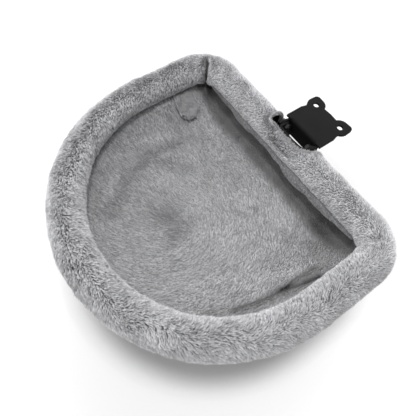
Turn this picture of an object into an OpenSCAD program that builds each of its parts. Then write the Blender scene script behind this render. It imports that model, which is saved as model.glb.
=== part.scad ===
// Desk cat hammock: a half-moon plush bed on a tube frame, hinged to a screw clamp for a desk's edge.
// The origin is the desk's top edge, on the centre line: the spine's face is at y = 0 and the
// underside of the top pad at z = 0. +X runs along the edge, +Y into the desk, +Z up.

/* [Rim] */
// Half width of the bed, out to the frame tube's centre line
rim_half_w = 178; // [160:1:200]
// Depth of the bed on the tube's centre line, from the straight side to the front
rim_depth = 294; // [270:1:340]
// Radius of the two back corners, on the tube's centre line
corner_r = 38; // [32:1:46]
// Radius of the padded rim, outside its cover
rim_r = 22; // [20:0.5:26]
// Thickness of the rim's plush cover
cover_t = 2.5; // [1.5:0.1:3.5]
// Distance from the desk's edge to the centre of the back bar
bar_reach = 24; // [23:0.5:28]
// Depth of the bar's centre below the desk's top
bar_drop = 9; // [7:0.5:11]

/* [Frame tube] */
// Outside radius of the frame tube
tube_r = 5; // [4.5:0.1:5.5]
// Wall of the frame tube
tube_wall = 1.2; // [0.8:0.1:1.5]
// Half length of the straight back bar
bar_half = 105; // [90:1:120]
// Length of each swaged spigot
spigot_len = 25; // [15:1:35]
// Half length of the sleeve that joins the hoops at the front
joiner_half = 22; // [15:1:30]
// Radius of a frame rivet
rivet_r = 1.6; // [1.2:0.1:2]

/* [Notch in the rim] */
// Half length of the notch that clears the hinge
notch_half = 38.5; // [37:0.1:44]
// How far the notch's hem lies in front of the bar's centre
notch_back = 8.6; // [8.2:0.1:11]
// Radius of the rolled hem
hem_r = 1.7; // [1.2:0.1:2]
// Depth of the open sleeve in front of the foam's ends
sleeve_depth = 7; // [4:0.5:12]

/* [Hammock] */
// Depth of the hammock's middle below the rim's centre
sag = 52; // [44:1:64]
// Thickness of the plush liner
liner_t = 3; // [2:0.5:4]
// Thickness of the wadding
padding_t = 8; // [6:0.5:12]
// Thickness of the base cloth
base_t = 1.5; // [1:0.1:2]
// Height of the soft folds that run in from the rim
fold_h = 2; // [0:0.1:3]
// Number of those folds
fold_count = 9; // [5:1:11]
// Thickness of the puffed side wall below the straight side
wall_puff = 9; // [6:0.5:10]
// Length of the loose corner tab
tab_len = 38; // [20:1:44]
// Half width of the corner tab
tab_half = 13; // [9:0.5:16]
// Thickness of the corner tab
tab_t = 3; // [2:0.5:4]
// Half angle of the hook-and-loop tape round the rim
tape_a = 15; // [10:1:20]
// Thickness of the tape
tape_t = 1.2; // [0.8:0.1:2]

/* [Desk bracket] */
// Thickness of all bent steel
steel_t = 3; // [2.5:0.1:3.5]
// Thickness of the rubber under the top plate
pad_t = 2; // [1.5:0.1:3]
// Half width of the top plate
plate_half = 32.3; // [31:0.1:34]
// Length of the top plate from the desk's edge to its far side
plate_len = 46; // [42:0.5:52]
// Half distance between the ear holes
ear_x = 23; // [22:0.1:24]
// Distance from the desk's edge to the ear holes
ear_y = 41.5; // [38:0.5:46]
// Radius of an ear
ear_r = 12.5; // [11:0.1:13.5]
// Radius of an ear hole
ear_hole_r = 4; // [3:0.1:5]
// Outside radius of the bend
bend_r = 4; // [3.6:0.1:5]
// Half width of the spine below the cheeks
spine_half = 24; // [22:0.5:25]
// Length of the spine below the desk's top
spine_len = 82; // [80:1:90]
// Half width of the spine's window
window_half = 19; // [15:0.5:20]
// Top of the window below the desk's top
window_top = 21; // [20.5:0.1:22]
// Height of the window
window_h = 13; // [10:0.5:14]

/* [Hinge] */
// Distance of the hinge pin from the desk's edge
pivot_y = 10; // [9:0.1:11]
// Depth of the hinge pin below the desk's top
pivot_z = 4.5; // [3:0.1:6]
// Radius of the hinge pins
pivot_r = 3; // [2:0.1:3.5]
// Half distance between the inner faces of the outer cheeks
cheek_in = 25.3; // [25:0.1:26]
// Radius of the outer cheeks' nose
nose_r = 8; // [7:0.1:8.5]
// How low the cheeks reach below the desk's top
cheek_low = 20; // [18:0.5:20]
// How far the curved lip bows out of its chord
lip_bow = 2.6; // [1:0.1:4]
// Height of the curved lip
lip_h = 3.5; // [2.5:0.1:5]

/* [Lower jaw] */
// Opening between the desk's top and the jaw's upper face
throat = 71; // [68:0.5:74]
// Half width of the jaw
jaw_half = 11; // [10:0.1:12]
// Distance from the desk's edge to the clamp screw
screw_y = 33; // [30:0.5:40]
// Pitch of the slots in the spine
slot_pitch = 15; // [14:0.5:16]
// Number of slots in the spine
slot_count = 3; // [1:1:3]
// Half distance between the two jaw screws
jaw_screw_x = 17; // [16:0.1:18]
// Radius of a jaw screw
jaw_screw_r = 2.5; // [2:0.1:3]

/* [Clamp screw] */
// Radius of the clamp screw
screw_r = 5; // [4:0.1:6]
// Desk thickness for which the screw is set
desk_t = 40; // [36:1:46]
// Travel of the screw upwards from there
travel_up = 30; // [10:1:32]
// Radius of the pressure foot
foot_r = 12; // [11:0.1:14]
// Thickness of the pressure foot's plate
foot_t = 2.5; // [2:0.1:4]
// Radius of the ball on the screw's end
ball_r = 4; // [3.5:0.1:4.5]
// Radius of the knob over its lobes
knob_r = 17; // [15:0.5:20]
// Height of the knob
knob_h = 22; // [16:0.5:26]
// Number of lobes on the knob
knob_lobes = 6; // [5:1:8]

/* [Hidden] */
$fn = 64;
path_fn = 180;
bow_fn = 360;
fit_gap = 0.05;
soft_gap = 0.3;
part_gap = 0.3;
over = 1;

// Rim centre line: a straight back, two square corners, two straight flanks and a half-round front
corner_x = rim_half_w - corner_r;
front_y = rim_depth - rim_half_w;
flank_len = front_y - corner_r;

// Rim section
cover_in = rim_r - cover_t;
foam_r = cover_in - soft_gap;
foam_bore = tube_r + soft_gap;
hem_mid = rim_r - hem_r;
hem_z = sqrt(hem_mid * hem_mid - notch_back * notch_back);
hem_a = atan2(hem_z, -notch_back);
cut_back = notch_back + hem_r + soft_gap;
facing_t = cover_t * 0.8;
sleeve_end = notch_half + hem_r + soft_gap;

// Frame
tube_in = tube_r - tube_wall;
spigot_r = tube_in - fit_gap;
spigot_in = spigot_r - tube_wall;
rivet_head = rivet_r * 1.25;
rivet_sink = rivet_r / 2;
rivet_low = sqrt(pow(tube_r + soft_gap / 2, 2) - rivet_head * rivet_head);
rivet_high = tube_in - tube_wall * 1.4;
rivet_x = bar_half - spigot_len / 2;
joiner_turn = joiner_half / rim_half_w * 180 / PI;

// Hammock layers: where each leaves the rim, in degrees below level, on the round and the straight side
round_a = [35, 45, 46, 62, 63, 68];
straight_a = [72, 80, 81, 92, 93, 98];
lie_r = rim_r + soft_gap * 1.5;
layer_sag = [sag, sag + liner_t, sag + liner_t + soft_gap, sag + liner_t + soft_gap + padding_t,
    sag + liner_t + padding_t + 2 * soft_gap, sag + liner_t + padding_t + 2 * soft_gap + base_t];
ring_shares = [1, 0.95, 0.88, 0.77, 0.6, 0.4, 0.2];
sag_power = 3;
middle_share = 0.5;
middle = [0, -rim_depth * middle_share];

// Hinge and cheeks
eye_r = tube_r * 1.5;
bolt_head_r = pivot_r * 1.9;
bolt_head_h = pivot_r * 1.3;
washer_r = pivot_r * 2.1;
washer_t = pivot_r * 0.25;
nut_h = pivot_r * 1.3;
cheek_out = cheek_in + steel_t;
inner_out = cheek_in - part_gap;
inner_in = inner_out - steel_t;
heel_y = steel_t + part_gap;
knuckle_r = pivot_y - heel_y - part_gap / 2;
lip_top = steel_t * 0.8;
lip_over = steel_t / 6;
lip_y = bar_reach - steel_t * 0.7;
floor_low = cheek_low;
floor_front = bar_reach + eye_r;
floor_rear = pivot_y;
plate_top = pad_t + steel_t;
bend_half = cheek_in - steel_t / 2;
pad_edge = bend_r - steel_t + part_gap;

// Lower jaw
slot_gap = steel_t / 6;
jaw_mid = throat + steel_t / 2;
leg_t = steel_t;
leg_half = spine_half - steel_t / 3;
leg_h = slot_pitch;
bush_r = screw_r * 1.8;
bush_h = screw_r * 2;
jaw_head_r = jaw_screw_r * 1.8;
jaw_head_h = jaw_screw_r;
jaw_nut_r = jaw_screw_r * 1.9;
jaw_nut_h = jaw_screw_r * 1.6;

// Clamp screw, measured down from the desk's top
foot_pad_t = foot_t;
foot_top = desk_t + foot_pad_t;
hub_r = ball_r * 1.9;
ball_gap = part_gap / 2;
ball_z = foot_top + foot_t + ball_r * 0.6;
hub_low = ball_z + ball_r * 0.7;
neck_r = ball_r * 0.6;
screw_top = hub_low + ball_r * 0.5;
knob_top = throat + steel_t + bush_h + travel_up + part_gap * 4;
screw_low = knob_top + knob_h * 0.7;
lobe_r = knob_r * 0.26;

// A profile drawn in y and z, drawn out along x
module along_x(start, length) {
    translate([start, 0, 0])
        rotate([90, 0, 90])
            linear_extrude(length)
                children();
}

// A profile drawn in x and z, drawn out along y
module along_y(start, length) {
    translate([0, start + length, 0])
        rotate([90, 0, 0])
            linear_extrude(length)
                children();
}

module both_sides() {
    children();
    mirror([1, 0, 0])
        children();
}

// A piece of the rim's path: a section swept round an arc about a centre
module arc_sweep(cx, cy, r, from_a, to_a) {
    translate([cx, cy, 0])
        rotate([0, 0, from_a])
            rotate_extrude(angle = to_a - from_a, $fn = path_fn)
                translate([r, 0])
                    children();
}

// The right half of the rim's path beyond x = start, for a section about the centre line
module half_sweep(start) {
    along_x(start, corner_x - start)
        children();
    arc_sweep(corner_x, -corner_r, corner_r, 0, 90)
        children();
    translate([rim_half_w, -corner_r, 0])
        rotate([90, 0, 0])
            linear_extrude(flank_len)
                children();
    arc_sweep(0, -front_y, rim_half_w, -90, 0)
        children();
}

// Moves from the rim's own centre, at the middle of the back bar, to the desk's edge
module at_bar() {
    translate([0, -bar_reach, -bar_drop])
        children();
}

module ring_2d(outer, inner) {
    difference() {
        circle(outer);
        circle(inner);
    }
}

// Points of the rim's path as [x, y, outward x, outward y], counter-clockwise from the front
function arc_points(cx, cy, r, from_a, to_a, steps) = [for (i = [0 : steps - 1])
    let (a = from_a + (to_a - from_a) * i / steps) [cx + r * cos(a), cy + r * sin(a), cos(a), sin(a)]];
function flipped(points) = [for (i = [len(points) - 1 : -1 : 1])
    [-points[i][0], points[i][1], -points[i][2], points[i][3]]];
straight_steps = 5;
flank_steps = 4;
right_path = concat(
    arc_points(0, -front_y, rim_half_w, -90, 0, 12),
    [for (i = [0 : flank_steps - 1]) [rim_half_w, flank_len * i / flank_steps - front_y, 1, 0]],
    arc_points(corner_x, -corner_r, corner_r, 0, 90, 6),
    [for (i = [0 : straight_steps]) [corner_x * (1 - i / straight_steps), 0, 0, 1]]);
left_path = flipped([for (i = [0 : len(right_path) - 2]) right_path[i]]);
rim_path = concat(right_path, left_path);

// A point on surface k of the hammock, at a share of the way from its middle to the rim
function edge_angle(p, k) = round_a[k] + (straight_a[k] - round_a[k]) * pow(max(0, p[3]), 4);
function fold_at(p, share) = fold_h * sin(fold_count * atan2(p[1] - middle[1], p[0])) * 4 * share * share * (1 - share);
function surface_point(p, share, k) =
    let (a = edge_angle(p, k))
    let (inset = lie_r * cos(a))
    let (fall = lie_r * sin(a))
    let (depth = fall + (layer_sag[k] - fall) * (1 - pow(share, sag_power)))
    [middle[0] + share * (p[0] - inset * p[2] - middle[0]),
        middle[1] + share * (p[1] - inset * p[3] - middle[1]),
        fold_at(p, share) - depth];

// A closed layer of cloth between two surfaces of the hammock
module layer(upper) {
    n = len(rim_path);
    rings = len(ring_shares);
    top_points = [for (s = ring_shares) for (p = rim_path) surface_point(p, s, upper)];
    low_points = [for (s = ring_shares) for (p = rim_path) surface_point(p, s, upper + 1)];
    top_middle = [[middle[0], middle[1], -layer_sag[upper]]];
    low_middle = [[middle[0], middle[1], -layer_sag[upper + 1]]];
    low = rings * n + 1;
    top_faces = [for (r = [0 : rings - 2]) for (i = [0 : n - 1])
        let (a = r * n + i) let (b = r * n + (i + 1) % n)
        each [[a, a + n, b + n], [a, b + n, b]]];
    low_faces = [for (f = top_faces) [f[2] + low, f[1] + low, f[0] + low]];
    top_fan = [for (i = [0 : n - 1]) [(rings - 1) * n + i, rings * n, (rings - 1) * n + (i + 1) % n]];
    low_fan = [for (f = top_fan) [f[2] + low, f[1] + low, f[0] + low]];
    rim_faces = [for (i = [0 : n - 1]) let (j = (i + 1) % n)
        each [[i, j, j + low], [i, j + low, i + low]]];
    polyhedron(concat(top_points, top_middle, low_points, low_middle),
        concat(top_faces, low_faces, top_fan, low_fan, rim_faces));
}

// A closed tube of cloth made of rings of equal count, with flat ends
module ring_solid(rings) {
    n = len(rings[0]);
    last = (len(rings) - 1) * n;
    points = [for (ring = rings) for (p = ring) p];
    walls = [for (r = [0 : len(rings) - 2]) for (i = [0 : n - 1])
        let (a = r * n + i) let (b = r * n + (i + 1) % n)
        each [[a, b, b + n], [a, b + n, a + n]]];
    polyhedron(points, concat(walls, [[for (i = [n - 1 : -1 : 0]) i]], [[for (i = [0 : n - 1]) last + i]]));
}

// Outline of the cat-head top plate, with y measured from the desk's edge
module ear_2d() {
    tip_r = ear_r * 0.44;
    tip = [ear_r * 0.52, ear_r * 0.6];
    lean = atan2(tip[1], tip[0]);
    spread = acos((ear_r - tip_r) / norm(tip));
    function toward(a) = [cos(a), sin(a)];
    translate([ear_x, ear_y]) {
        circle(ear_r);
        translate(tip)
            circle(tip_r);
        polygon([ear_r * toward(lean - spread), tip + tip_r * toward(lean - spread),
            tip + tip_r * toward(lean + spread), ear_r * toward(lean + spread)]);
    }
}

module plate_2d() {
    shoulder_y = plate_len * 0.49;
    waist_y = plate_len * 0.62;
    waist_x = plate_half * 0.944;
    crown = plate_len * 0.02;
    brow_x = plate_half * 0.34;
    difference() {
        union() {
            polygon([[-plate_half, -steel_t], [plate_half, -steel_t], [plate_half, shoulder_y],
                [waist_x, waist_y], [waist_x, ear_y], [brow_x, plate_len],
                [0, plate_len + crown], [-brow_x, plate_len], [-waist_x, ear_y],
                [-waist_x, waist_y], [-plate_half, shoulder_y]]);
            both_sides()
                ear_2d();
        }
        both_sides()
            translate([ear_x, ear_y])
                circle(ear_hole_r);
        translate([-bend_half, -steel_t - over])
            square([2 * bend_half, bend_r + over]);
    }
}

// Side of an outer cheek, in y and z
module outer_cheek_2d() {
    difference() {
        union() {
            translate([-pivot_y, -pivot_z])
                circle(nose_r);
            translate([-pivot_y, -cheek_low])
                square([pivot_y, cheek_low + pad_t]);
            polygon([[-pivot_y - nose_r, -pivot_z], [-pivot_y, -cheek_low], [-pivot_y, -pivot_z]]);
        }
        translate([-pivot_y, -pivot_z])
            circle(pivot_r + fit_gap);
    }
}

// Face of the spine, in x and z
module spine_2d() {
    slot_w = jaw_half + slot_gap;
    slot_h = steel_t + 2 * slot_gap;
    difference() {
        union() {
            translate([-cheek_out, -cheek_low])
                square([2 * cheek_out, cheek_low + plate_top - bend_r]);
            translate([-spine_half, -spine_len])
                square([2 * spine_half, spine_len]);
        }
        translate([-window_half, -window_top - window_h])
            square([2 * window_half, window_h]);
        for (i = [0 : slot_count - 1]) {
            translate([-slot_w, i * slot_pitch - jaw_mid - slot_h / 2])
                square([2 * slot_w, slot_h]);
            both_sides()
                translate([jaw_screw_x, i * slot_pitch - jaw_mid])
                    circle(jaw_screw_r + fit_gap);
        }
    }
}

module desk_bracket() {
    color([0.09, 0.09, 0.1]) {
        translate([0, 0, pad_t])
            linear_extrude(steel_t)
                plate_2d();
        along_x(-bend_half, 2 * bend_half)
            translate([bend_r - steel_t, plate_top - bend_r])
                intersection() {
                    ring_2d(bend_r, bend_r - steel_t);
                    translate([-bend_r, 0])
                        square(bend_r);
                }
        along_y(-steel_t, steel_t)
            spine_2d();
        both_sides()
            along_x(cheek_in, steel_t)
                outer_cheek_2d();
    }
}

module top_pad() {
    inset = steel_t;
    hole_r = ear_hole_r + steel_t;
    color([0.05, 0.05, 0.05])
        linear_extrude(pad_t)
            difference() {
                translate([-plate_half + inset, pad_edge])
                    square([2 * (plate_half - inset), plate_len - pad_edge - inset]);
                both_sides()
                    translate([ear_x, ear_y])
                        circle(hole_r);
            }
}

// Hinge hardware on the right side, at its pin
module at_pin(x) {
    translate([x, -pivot_y, -pivot_z])
        rotate([0, 90, 0])
            children();
}

module pivot_bolts() {
    head_x = cheek_out + washer_t;
    color([0.12, 0.12, 0.13])
        both_sides() {
            at_pin(inner_in - nut_h - pivot_r / 2)
                cylinder(r = pivot_r, h = head_x - inner_in + nut_h + pivot_r / 2);
            at_pin(head_x)
                cylinder(r = bolt_head_r, h = bolt_head_h, $fn = 6);
        }
}

module pivot_washers() {
    color([0.16, 0.16, 0.17])
        both_sides()
            at_pin(cheek_out)
                linear_extrude(washer_t)
                    ring_2d(washer_r, pivot_r + fit_gap);
}

module pivot_nuts() {
    color([0.12, 0.12, 0.13])
        both_sides()
            at_pin(inner_in - part_gap - nut_h)
                linear_extrude(nut_h)
                    difference() {
                        circle(bolt_head_r, $fn = 6);
                        circle(pivot_r + fit_gap);
                    }
}

module jaw_arm() {
    color([0.09, 0.09, 0.1])
        difference() {
            union() {
                translate([-jaw_half, -steel_t - leg_t, -throat - steel_t])
                    cube([2 * jaw_half, screw_y + steel_t + leg_t, steel_t]);
                translate([0, screw_y, -throat - steel_t])
                    cylinder(r = jaw_half, h = steel_t);
                translate([-leg_half, -steel_t - leg_t, -jaw_mid - leg_h / 2])
                    cube([2 * leg_half, leg_t, leg_h]);
            }
            translate([0, screw_y, -throat - steel_t - over])
                cylinder(r = screw_r + part_gap, h = steel_t + 2 * over);
            both_sides()
                translate([jaw_screw_x, -steel_t - leg_t - over, -jaw_mid])
                    rotate([-90, 0, 0])
                        cylinder(r = jaw_screw_r + fit_gap, h = leg_t + 2 * over);
        }
}

module at_jaw_screws(y) {
    both_sides()
        translate([jaw_screw_x, y, -jaw_mid])
            rotate([-90, 0, 0])
                children();
}

module jaw_screws() {
    face = -steel_t - leg_t;
    tip = jaw_nut_h + jaw_screw_r / 2;
    socket_r = jaw_screw_r * 0.7;
    color([0.3, 0.3, 0.32])
        difference() {
            union() {
                at_jaw_screws(face)
                    cylinder(r = jaw_screw_r, h = -face + tip);
                at_jaw_screws(face - jaw_head_h)
                    cylinder(r = jaw_head_r, h = jaw_head_h);
            }
            at_jaw_screws(face - jaw_head_h - over)
                cylinder(r = socket_r, h = over + jaw_head_h / 2, $fn = 6);
        }
}

module jaw_nuts() {
    color([0.3, 0.3, 0.32])
        at_jaw_screws(0)
            linear_extrude(jaw_nut_h)
                difference() {
                    circle(jaw_nut_r, $fn = 6);
                    circle(jaw_screw_r + fit_gap);
                }
}

module at_screw(depth) {
    translate([0, screw_y, -depth])
        children();
}

module screw_bush() {
    color([0.35, 0.35, 0.37])
        at_screw(throat + steel_t + bush_h)
            linear_extrude(bush_h)
                difference() {
                    circle(bush_r, $fn = 6);
                    circle(screw_r + fit_gap);
                }
}

module thrust_ball() {
    shank_r = neck_r * 0.8;
    shank_h = screw_r;
    color([0.5, 0.5, 0.52]) {
        at_screw(ball_z)
            sphere(ball_r);
        at_screw(screw_top)
            cylinder(r = neck_r, h = screw_top - ball_z);
        at_screw(screw_top + shank_h)
            cylinder(r = shank_r, h = shank_h);
    }
}

module clamp_screw() {
    shank_r = neck_r * 0.8;
    shank_h = screw_r;
    color([0.4, 0.4, 0.42])
        difference() {
            at_screw(screw_low)
                cylinder(r = screw_r, h = screw_low - screw_top - part_gap / 2);
            at_screw(screw_top + shank_h + part_gap)
                cylinder(r = shank_r + fit_gap, h = shank_h + part_gap + over);
        }
}

module screw_knob() {
    collar_r = screw_r * 1.7;
    collar_h = knob_h * 0.2;
    core_r = knob_r - lobe_r;
    color([0.06, 0.06, 0.06])
        difference() {
            union() {
                at_screw(knob_top + knob_h)
                    linear_extrude(knob_h - collar_h) {
                        circle(core_r);
                        for (i = [0 : knob_lobes - 1])
                            rotate([0, 0, i * 360 / knob_lobes])
                                translate([core_r, 0])
                                    circle(lobe_r);
                    }
                at_screw(knob_top + collar_h)
                    cylinder(r = collar_r, h = collar_h);
            }
            at_screw(screw_low + part_gap / 2)
                cylinder(r = screw_r + fit_gap, h = screw_low - knob_top + over);
        }
}

module pressure_foot() {
    mouth_r = neck_r + ball_r * 0.25;
    color([0.35, 0.35, 0.37])
        difference() {
            union() {
                at_screw(foot_top + foot_t)
                    cylinder(r = foot_r, h = foot_t);
                at_screw(hub_low)
                    cylinder(r = hub_r, h = hub_low - foot_top - foot_t);
            }
            at_screw(ball_z)
                sphere(ball_r + ball_gap);
            at_screw(hub_low + over)
                cylinder(r = mouth_r, h = hub_low - ball_z + over);
        }
}

module foot_pad() {
    color([0.05, 0.05, 0.05])
        at_screw(foot_top)
            cylinder(r = foot_r, h = foot_pad_t);
}

// Side of an inner cheek, in y and z: eye round the bar, knuckle round the pin, heel against the spine
module inner_cheek_2d() {
    difference() {
        union() {
            translate([-bar_reach, -bar_drop])
                circle(eye_r);
            translate([-pivot_y, -pivot_z])
                circle(knuckle_r);
            polygon([[-heel_y - part_gap / 2, -pivot_z], [-pivot_y, -pivot_z + knuckle_r],
                [-lip_y, lip_top + lip_over], [-lip_y, lip_top - lip_h], [-floor_front, -bar_drop],
                [-floor_front, -floor_low], [-heel_y, -floor_low]]);
        }
        translate([-bar_reach, -bar_drop])
            circle(tube_r + fit_gap);
        translate([-pivot_y, -pivot_z])
            circle(pivot_r + fit_gap);
    }
}

// The bowed lip in plan: a strip between two arcs, whose ends stop inside the cheeks
module lip_2d() {
    bow_r = (inner_out * inner_out + lip_bow * lip_bow) / (2 * lip_bow);
    half = inner_out - steel_t / 3;
    translate([0, bow_r - lip_y - lip_bow])
        intersection() {
            ring_2d(bow_r, bow_r - steel_t, $fn = bow_fn);
            translate([-half, -bow_r - over])
                square([2 * half, bow_r]);
        }
}

module bed_bracket() {
    color([0.1, 0.1, 0.11]) {
        both_sides()
            along_x(inner_in, steel_t)
                inner_cheek_2d();
        translate([-inner_out, -floor_front, -floor_low])
            cube([2 * inner_out, floor_front - floor_rear, steel_t]);
        translate([0, 0, lip_top - lip_h])
            linear_extrude(lip_h)
                lip_2d();
    }
}

// A sunk rivet through a tube and its spigot, from below
module rivet() {
    translate([0, 0, -rivet_low]) {
        cylinder(r = rivet_head, h = rivet_sink);
        cylinder(r = rivet_r, h = rivet_low - rivet_high);
    }
}

module rivet_hole() {
    translate([0, 0, -rivet_low - over]) {
        cylinder(r = rivet_head + fit_gap, h = rivet_sink + over);
        cylinder(r = rivet_r + fit_gap, h = rivet_low - rivet_high + over);
    }
}

module at_frame_rivets() {
    front = joiner_turn / 2;
    both_sides() {
        translate([rivet_x, 0, 0])
            children();
        translate([0, -front_y, 0])
            rotate([0, 0, front])
                translate([0, -rim_half_w, 0])
                    children();
    }
}

module back_bar() {
    color([0.12, 0.12, 0.13])
        at_bar()
            difference() {
                along_x(-bar_half, 2 * bar_half)
                    ring_2d(tube_r, tube_in);
                at_frame_rivets()
                    rivet_hole();
            }
}

module hoop() {
    difference() {
        union() {
            half_sweep(bar_half)
                ring_2d(tube_r, tube_in);
            along_x(bar_half - spigot_len, spigot_len + tube_wall)
                ring_2d(spigot_r, spigot_in);
            along_x(bar_half, tube_wall)
                ring_2d(tube_r, spigot_in);
        }
        at_frame_rivets()
            rivet_hole();
    }
}

module right_hoop() {
    color([0.12, 0.12, 0.13])
        at_bar()
            hoop();
}

module left_hoop() {
    color([0.12, 0.12, 0.13])
        at_bar()
            mirror([1, 0, 0])
                hoop();
}

module front_joiner() {
    color([0.3, 0.3, 0.32])
        at_bar()
            difference() {
                arc_sweep(0, -front_y, rim_half_w, -90 - joiner_turn, -90 + joiner_turn)
                    ring_2d(spigot_r, spigot_in);
                at_frame_rivets()
                    rivet_hole();
            }
}

module frame_rivets() {
    color([0.4, 0.4, 0.42])
        at_bar()
            at_frame_rivets()
                rivet();
}

// What the notch takes out of the rim, behind a plane in front of the bar
module notch_cut(half, back) {
    translate([-half, -back, -rim_r - over])
        cube([2 * half, back + rim_r + over, 2 * (rim_r + over)]);
}

module foam_roll() {
    color([0.2, 0.2, 0.21])
        at_bar()
            difference() {
                both_sides()
                    half_sweep(0)
                        ring_2d(foam_r, foam_bore);
                notch_cut(sleeve_end + sleeve_depth, cut_back + facing_t + soft_gap);
            }
}

module rim_cover() {
    color([0.62, 0.62, 0.63])
        at_bar()
            difference() {
                both_sides()
                    half_sweep(0)
                        ring_2d(rim_r, cover_in);
                notch_cut(sleeve_end, cut_back);
            }
}

module notch_facing() {
    color([0.6, 0.6, 0.61])
        at_bar()
            along_x(-sleeve_end, 2 * sleeve_end)
                intersection() {
                    circle(foam_r);
                    translate([-cut_back - facing_t, -rim_r])
                        square([facing_t, 2 * rim_r]);
                }
}

// Rolled hem round the notch: two runs along it, and a hoop round each sleeve's end between them
module notch_hem() {
    hoop_a = hem_a - (hem_r + soft_gap) / hem_mid * 180 / PI;
    run_half = notch_half + hem_r;
    color([0.7, 0.7, 0.71])
        at_bar() {
            both_sides()
                translate([notch_half, 0, 0])
                    rotate([0, 90, 0])
                        rotate([0, 0, 90 - hoop_a])
                            rotate_extrude(angle = 2 * hoop_a)
                                translate([hem_mid, 0])
                                    circle(hem_r);
            for (side = [-1, 1])
                translate([0, -notch_back, side * hem_z])
                    along_x(-run_half, 2 * run_half)
                        circle(hem_r);
        }
}

module base_cloth() {
    color([0.3, 0.3, 0.31])
        at_bar()
            layer(4);
}

module sling_padding() {
    color([0.9, 0.9, 0.88])
        at_bar()
            layer(2);
}

module plush_liner() {
    color([0.6, 0.6, 0.61])
        at_bar()
            layer(0);
}

// Puffed wall that hangs from the rim along the straight side, pinched where it is stitched
module side_wall() {
    from_a = 22;
    to_a = 70;
    inner_steps = 4;
    outer_steps = 6;
    sections = 28;
    pinches = 4;
    least = wall_puff * 0.12;
    half = corner_x;
    rings = [for (j = [0 : sections])
        let (x = half * (2 * j / sections - 1))
        let (full = pow(max(0, cos(90 * x / half)), 0.5))
        let (puff = 1 - 0.22 * pow(abs(cos(180 * pinches * x / (2 * half))), 6))
        let (t = least + (wall_puff - least) * full * puff)
        concat(
            [for (i = [0 : inner_steps]) let (a = from_a + (to_a - from_a) * i / inner_steps)
                [x, -lie_r * cos(a), -lie_r * sin(a)]],
            [for (i = [outer_steps : -1 : 0]) let (a = from_a + (to_a - from_a) * i / outer_steps)
                let (r = lie_r + least / 2 + t * pow(sin(180 * i / outer_steps), 0.8))
                [x, -r * cos(a), -r * sin(a)]])];
    color([0.64, 0.64, 0.65])
        at_bar()
            ring_solid(rings);
}

// A loose plush tab that hangs from the seam near the left corner and lies on the liner
module corner_tab() {
    steps = 7;
    across = 6;
    reach = tab_len / rim_half_w;
    lift = soft_gap * 3;
    root_share = 0.985;
    root_y = corner_r * 1.55;
    tip_share = 0.05;
    function flank_point(y) = [-rim_half_w, y, -1, 0];
    rings = [for (j = [0 : steps])
        let (share = root_share - reach * j / steps)
        let (width = tab_half * sqrt(max(tip_share, 1 - pow(j / steps, 4))) / share)
        let (row = [for (i = [0 : across])
            surface_point(flank_point(width * (2 * i / across - 1) - root_y), share, 0)])
        concat(
            [for (p = row) p + [0, 0, lift + tab_t]],
            [for (i = [across : -1 : 0]) row[i] + [0, 0, lift]])];
    color([0.6, 0.6, 0.61])
        at_bar()
            ring_solid(rings);
}

// Two hook-and-loop tapes that close the cover under the straight side
module closure_tapes() {
    inner = rim_r + soft_gap;
    outer = inner + tape_t;
    reach = outer * 2;
    start = sleeve_end + sleeve_depth;
    length = corner_x - start;
    color([0.25, 0.25, 0.26])
        at_bar()
            both_sides()
                along_x(start, length)
                    rotate([0, 0, tape_a * 2])
                        intersection() {
                            ring_2d(outer, inner);
                            polygon([[0, 0], [-reach * sin(tape_a), -reach], [reach * sin(tape_a), -reach]]);
                        }
}

desk_bracket();
top_pad();
pivot_bolts();
pivot_washers();
pivot_nuts();
jaw_arm();
jaw_screws();
jaw_nuts();
screw_bush();
thrust_ball();
clamp_screw();
screw_knob();
pressure_foot();
foot_pad();
bed_bracket();
back_bar();
left_hoop();
right_hoop();
front_joiner();
frame_rivets();
foam_roll();
rim_cover();
notch_facing();
notch_hem();
base_cloth();
sling_padding();
plush_liner();
side_wall();
corner_tab();
closure_tapes();
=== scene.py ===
import math

import bmesh
import bpy
import numpy as np
from mathutils import Matrix, Vector


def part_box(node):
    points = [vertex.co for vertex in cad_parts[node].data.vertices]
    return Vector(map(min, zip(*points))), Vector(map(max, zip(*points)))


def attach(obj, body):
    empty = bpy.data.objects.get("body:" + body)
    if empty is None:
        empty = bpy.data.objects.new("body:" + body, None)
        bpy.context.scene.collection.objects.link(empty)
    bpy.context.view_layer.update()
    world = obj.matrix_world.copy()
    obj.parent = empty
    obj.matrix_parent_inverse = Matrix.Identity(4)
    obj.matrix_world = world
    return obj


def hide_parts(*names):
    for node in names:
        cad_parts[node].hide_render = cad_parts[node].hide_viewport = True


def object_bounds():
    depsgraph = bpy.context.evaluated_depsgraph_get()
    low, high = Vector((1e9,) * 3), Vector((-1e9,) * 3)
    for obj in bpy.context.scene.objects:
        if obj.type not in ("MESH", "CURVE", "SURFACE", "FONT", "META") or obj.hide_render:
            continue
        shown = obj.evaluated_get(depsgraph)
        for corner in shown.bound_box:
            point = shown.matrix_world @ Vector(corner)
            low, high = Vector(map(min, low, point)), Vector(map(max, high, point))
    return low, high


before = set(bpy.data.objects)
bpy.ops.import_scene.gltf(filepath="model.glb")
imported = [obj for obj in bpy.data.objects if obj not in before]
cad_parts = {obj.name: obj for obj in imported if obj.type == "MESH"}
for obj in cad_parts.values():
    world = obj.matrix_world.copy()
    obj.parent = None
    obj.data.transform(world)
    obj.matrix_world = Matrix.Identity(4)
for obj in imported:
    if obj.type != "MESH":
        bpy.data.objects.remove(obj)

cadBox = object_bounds()
scene = bpy.context.scene
mm = 0.001
fullTurn = 2 * math.pi
print("frame loaded:", len(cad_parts), "nodes")

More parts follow.
